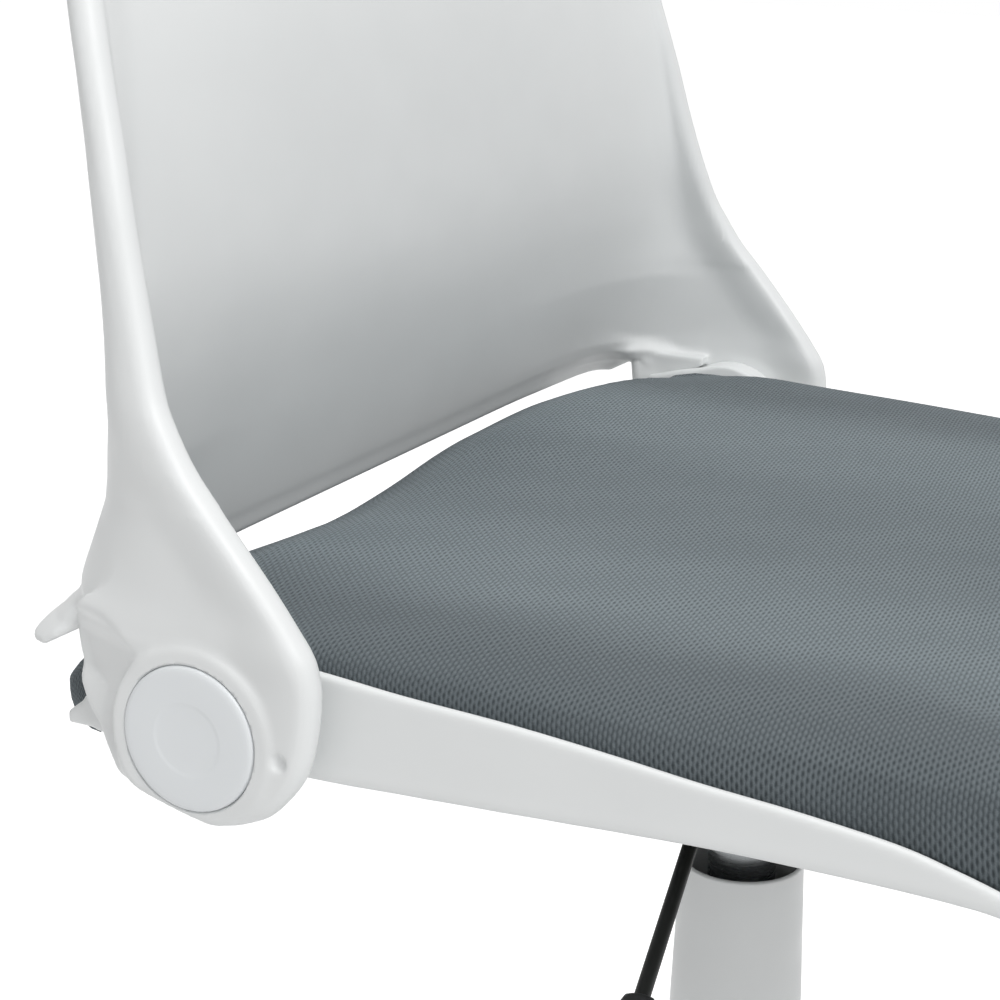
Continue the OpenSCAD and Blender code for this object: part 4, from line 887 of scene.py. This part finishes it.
def ranged(tree, value, *limits, **settings):
    """A value taken from one range to another, which is 0 to 1 where it isn't given."""
    inputs = {0: value, **dict(enumerate(limits, 1))}
    return node(tree, "ShaderNodeMapRange", inputs, **settings).outputs[0]


def bumped(tree, shader, height, strength, distance):
    relief = node(tree, "ShaderNodeBump", {"Height": height, "Strength": strength, "Distance": distance})
    tree.links.new(relief.outputs[0], shader.inputs["Normal"])


def new_material(name, sockets):
    m = bpy.data.materials.new(name)
    m.use_nodes = True
    tree = m.node_tree
    shader = tree.nodes["Principled BSDF"]
    for key, value in sockets.items():
        shader.inputs[key].default_value = value
    place = node(tree, "ShaderNodeTexCoord").outputs["Object"]
    return m, tree, shader, place


def noise(tree, place, scale, detail=3.0, stretch=(1, 1, 1)):
    if stretch != (1, 1, 1):
        place = node(tree, "ShaderNodeMapping", {"Vector": place, "Scale": stretch}).outputs[0]
    return node(tree, "ShaderNodeTexNoise", {"Vector": place, "Scale": scale, "Detail": detail}).outputs[0]


def blend(tree, factor, under, over, **settings):
    """One colour laid over another by a factor."""
    inputs = {"Factor": factor, 6: under, 7: over}
    return node(tree, "ShaderNodeMix", inputs, data_type="RGBA", **settings).outputs[2]


def between(tree, factor, dark, light):
    """A colour that varies between two with a noise."""
    return blend(tree, ranged(tree, factor, 0.32, 0.68), (*dark, 1), (*light, 1))


def finish_of(name, dark, light, rough, stain=9.0, grain=1600.0, depth=0.00003, bump=0.25,
              stretch=(1, 1, 1), **sockets):
    """A hard finish: colour drifts between two tones, roughness varies and the surface has a grain."""
    m, tree, shader, place = new_material(name, {k.replace("_", " "): v for k, v in sockets.items()})
    drift = noise(tree, place, stain, 4.0, stretch)
    fine = noise(tree, place, grain, 2.0, stretch)
    smear = noise(tree, place, stain * 5, 5.0, stretch)
    tree.links.new(between(tree, drift, dark, light), shader.inputs["Base Color"])
    tree.links.new(ranged(tree, smear, 0.3, 0.7, *rough), shader.inputs["Roughness"])
    bumped(tree, shader, fine, bump, depth)
    return m


# The weave's two diagonals and its rows, in waves per millimetre
WEAVE_A, WEAVE_B, WEAVE_ROW = (-0.17, -0.31), (-0.27, 0.31), (0.08, -0.63)


def weave_height(tree, u, v):
    """Short staggered ribs, from 0 in the hollows to 1 on the threads."""
    parts = []
    for (wu, wv), share in ((WEAVE_A, 0.26), (WEAVE_B, 0.26), (WEAVE_ROW, 0.48)):
        phase = maths(tree, "MULTIPLY_ADD", u, 2000 * math.pi * wu,
                      maths(tree, "MULTIPLY", v, 2000 * math.pi * wv))
        parts.append(maths(tree, "MULTIPLY", maths(tree, "COSINE", phase), share / 2))
    return maths(tree, "ADD", maths(tree, "ADD", parts[0], parts[1]), maths(tree, "ADD", parts[2], 0.5))


# In metres but for the span: where the cloth's crest is tabled along the seat; where the cloth turns
# down at the sides, round the roll and over the nose, and the heights that it falls from there
CREST_Y, CREST_STEPS, CREST_SPAN = (-0.25, 0.19), 8, 80
SIDE_TURN, ROLL_TURN, NOSE_TURN = (0.178, 0.212), (0.139, 0.164), (-0.161, -0.196)
ROLL_Z, NOSE_Z = 0.483, 0.475


def cloth_lie(tree, x, y, z):
    """A point's place on the flat cloth, which goes on down the sides and round the roll and nose."""
    crest = node(tree, "ShaderNodeFloatCurve", {"Value": ranged(tree, y, *CREST_Y)})
    curve = crest.mapping.curves[0]
    for k in range(CREST_STEPS + 1):
        share = k / CREST_STEPS
        top = float(top_at(np.array(0.8 * CUSHION_HW), mix(*CREST_Y, share) * 1000 - HINGE[1]))
        height = min(max(top / CREST_SPAN + 0.5, 0), 1)
        if k in (0, CREST_STEPS):
            curve.points[0 if k == 0 else -1].location = (share, height)
        else:
            curve.points.new(share, height)
    crest.mapping.update()
    crest_low = (HINGE[2] - CREST_SPAN / 2) / 1000
    crest_z = maths(tree, "MULTIPLY_ADD", crest.outputs[0], CREST_SPAN / 1000, crest_low)
    over = ranged(tree, maths(tree, "ABSOLUTE", x), *SIDE_TURN)
    fall = maths(tree, "MULTIPLY", maths(tree, "SUBTRACT", crest_z, z), over)
    behind = maths(tree, "MULTIPLY", maths(tree, "SUBTRACT", ROLL_Z, z), ranged(tree, y, *ROLL_TURN))
    ahead = maths(tree, "MULTIPLY", maths(tree, "SUBTRACT", NOSE_Z, z), ranged(tree, y, *NOSE_TURN))
    return (maths(tree, "MULTIPLY_ADD", fall, maths(tree, "SIGN", x), x),
            maths(tree, "ADD", y, maths(tree, "SUBTRACT", behind, ahead)))


def painted_light_share(tree, x):
    """How much of the cloth keeps its full colour rather than painted shade: all on top, little on the
    slopes and sides, a little less in the middle.
    """
    normal = node(tree, "ShaderNodeTexCoord").outputs["Normal"]
    upward = node(tree, "ShaderNodeSeparateXYZ", {0: normal}).outputs[2]
    aside = maths(tree, "ABSOLUTE", x)
    to_side = ranged(tree, aside, 0.13, 0.185, 1.0, 0.25, interpolation_type="SMOOTHSTEP")
    to_middle = ranged(tree, aside, 0.03, 0.095, 0.7, 1.0, interpolation_type="SMOOTHSTEP")
    return maths(tree, "MINIMUM", ranged(tree, upward, 0.88, 0.99, 0.12),
                 maths(tree, "MULTIPLY", to_side, to_middle))


def fabric_of(name):
    m, tree, shader, place = new_material(name, {
        "Sheen Weight": 0.25, "Sheen Roughness": 0.45, "Sheen Tint": (0.8, 0.9, 0.95, 1),
        "Specular IOR Level": 0.25})
    wobble = node(tree, "ShaderNodeTexNoise", {"Vector": place, "Scale": 45.0, "Detail": 1.0}).outputs[1]
    middle = {0: wobble, 1: (0.5, 0.5, 0.5)}
    shift = node(tree, "ShaderNodeVectorMath", middle, operation="SUBTRACT").outputs[0]
    shift = node(tree, "ShaderNodeVectorMath", {0: shift, 3: 0.0011}, operation="SCALE").outputs[0]
    moved = node(tree, "ShaderNodeVectorMath", {0: place, 1: shift}, operation="ADD").outputs[0]
    x, y, z = node(tree, "ShaderNodeSeparateXYZ", {0: moved}).outputs
    ribs = weave_height(tree, *cloth_lie(tree, x, y, z))
    fuzz = noise(tree, place, 2600.0, 2.0)
    stain = noise(tree, place, 14.0, 4.0)
    height = maths(tree, "ADD", ribs, maths(tree, "MULTIPLY", maths(tree, "SUBTRACT", fuzz, 0.5), 0.55))
    thread = between(tree, stain, (0.2, 0.234, 0.25), (0.222, 0.258, 0.274))
    # the hollows between the threads are coloured dark as painted shade, the threads keep their own tone
    cloth = blend(tree, ranged(tree, height, 0.1, 0.72), (0.07, 0.088, 0.097, 1), thread)
    # the cloth darkened to half is painted shade, laid on the slopes, the sides and a little in the middle
    shaded_cloth = blend(tree, 1.0, cloth, (0.5, 0.5, 0.51, 1), blend_type="MULTIPLY")
    tree.links.new(blend(tree, painted_light_share(tree, x), shaded_cloth, cloth), shader.inputs["Base Color"])
    tree.links.new(ranged(tree, fuzz, 0, 1, 0.78, 0.95), shader.inputs["Roughness"])
    bumped(tree, shader, height, 0.9, 0.0006)
    return m


def board_of(name):
    m, tree, shader, place = new_material(name, {"Specular IOR Level": 0.35})
    grain = {"Vector": place, "Scale": 26.0, "Distortion": 5.0, "Detail": 3.0}
    rings = node(tree, "ShaderNodeTexWave", grain, bands_direction="Y").outputs[1]
    pores = noise(tree, place, 420.0, 3.0, (0.06, 1, 1))
    tone = maths(tree, "MULTIPLY_ADD", pores, 0.5, maths(tree, "MULTIPLY", rings, 0.5))
    tree.links.new(between(tree, tone, (0.36, 0.23, 0.12), (0.52, 0.37, 0.21)), shader.inputs["Base Color"])
    tree.links.new(ranged(tree, pores, 0, 1, 0.55, 0.75), shader.inputs["Roughness"])
    bumped(tree, shader, pores, 0.4, 0.0001)
    return m


FINISH = {
    "white": finish_of("white_plastic", (0.775, 0.79, 0.79), (0.81, 0.825, 0.825), (0.36, 0.5)),
    "cap": finish_of("cap_plastic", (0.775, 0.80, 0.815), (0.80, 0.825, 0.84), (0.28, 0.4), bump=0.15),
    "black": finish_of("black_plastic", (0.009, 0.01, 0.01), (0.014, 0.015, 0.016), (0.5, 0.68),
                       grain=1200.0, depth=0.0001, bump=0.5),
    "black_metal": finish_of("black_enamel", (0.006, 0.007, 0.006), (0.01, 0.011, 0.01), (0.5, 0.62),
                             grain=500.0, depth=0.00005, bump=0.3, Specular_IOR_Level=0.3),
    "steel": finish_of("zinc_steel", (0.5, 0.51, 0.5), (0.64, 0.65, 0.66), (0.26, 0.46), stain=40.0,
                       grain=900.0, bump=0.3, Metallic=1.0),
    "tube": finish_of("ground_steel", (0.2, 0.21, 0.215), (0.27, 0.28, 0.285), (0.2, 0.34), stain=20.0,
                      grain=700.0, bump=0.25, stretch=(1, 1, 9), Metallic=1.0),
    "brass": finish_of("brass", (0.62, 0.45, 0.17), (0.72, 0.54, 0.24), (0.25, 0.45), stain=60.0,
                       Metallic=1.0),
    "board": board_of("plywood"),
    "fabric": fabric_of("grey_weave"),
    "tread": finish_of("wheel_rubber", (0.03, 0.031, 0.032), (0.05, 0.051, 0.053), (0.5, 0.72),
                       stain=60.0, grain=700.0, depth=0.00015, bump=0.5),
}
for cad in nodes.values():
    for number, old in enumerate(list(cad.data.materials)):
        cad.data.materials[number] = FINISH[old.name.split(".")[0]]
PIECES = {"white": [back, pan, star, *covers.values()], "cap": list(caps.values()), "fabric": [cushion],
          "black": [handle, *hoods], "tread": wheels}
for word, group in PIECES.items():
    for piece in group:
        piece.data.materials.clear()
        piece.data.materials.append(FINISH[word])

# -------------------------------------------------- stage
scene.view_settings.view_transform = "Standard"
world = bpy.data.worlds.new("studio")
scene.world = world
world.use_nodes = True


def seen_directly(tree):
    """1 for rays from the camera, off metal and through glass; 0 for the light that falls on things."""
    path = node(tree, "ShaderNodeLightPath").outputs
    seen = maths(tree, "MAXIMUM", path["Is Camera Ray"], path["Is Glossy Ray"])
    return maths(tree, "MAXIMUM", seen, path["Is Transmission Ray"])


backdrop = world.node_tree.nodes["Background"]
backdrop.inputs["Color"].default_value = (1, 1, 1, 1)
# the lowest light that falls on things, and the full white behind them
strength = ranged(world.node_tree, seen_directly(world.node_tree), 0, 1, 0.45, 1.0)
world.node_tree.links.new(strength, backdrop.inputs["Strength"])


def soft_light(name, place, aim, size, power):
    lamp = bpy.data.lights.new(name, "AREA")
    lamp.shape = "DISK"
    lamp.size = size
    lamp.energy = power
    obj = bpy.data.objects.new(name, lamp)
    scene.collection.objects.link(obj)
    obj.location = place
    obj.rotation_euler = (Vector(aim) - Vector(place)).to_track_quat("-Z", "Y").to_euler()


soft_light("overhead", (-0.3, 0.1, 2.9), (0, 0.1, 0.5), 1.6, 15.5)
soft_light("front_left", (-1.2, -1.6, 2.3), (0, 0, 0.5), 1.5, 36.0)

floor_mesh = bpy.data.meshes.new("floor")
floor_mesh.from_pydata([(-8, -8, 0), (8, -8, 0), (8, 8, 0), (-8, 8, 0)], [], [(0, 1, 2, 3)])
floor = bpy.data.objects.new("floor", floor_mesh)
scene.collection.objects.link(floor)
floor_paint, tree, shader, place = new_material(
    "floor_paint", {"Roughness": 0.85, "Specular IOR Level": 0.2})
tree.links.new(between(tree, noise(tree, place, 0.6), (0.89, 0.89, 0.89), (0.91, 0.91, 0.91)),
               shader.inputs["Base Color"])
glow = node(tree, "ShaderNodeEmission", {"Strength": maths(tree, "MULTIPLY", seen_directly(tree), 0.64)})
both = node(tree, "ShaderNodeAddShader", {0: shader.outputs[0], 1: glow.outputs[0]})
# clear from underneath, so that the object can be looked at from below
under = node(tree, "ShaderNodeNewGeometry").outputs["Backfacing"]
clear = node(tree, "ShaderNodeBsdfTransparent")
shown = node(tree, "ShaderNodeMixShader", {0: under, 1: both.outputs[0], 2: clear.outputs[0]})
tree.links.new(shown.outputs[0], tree.nodes["Material Output"].inputs[0])
floor_mesh.materials.append(floor_paint)
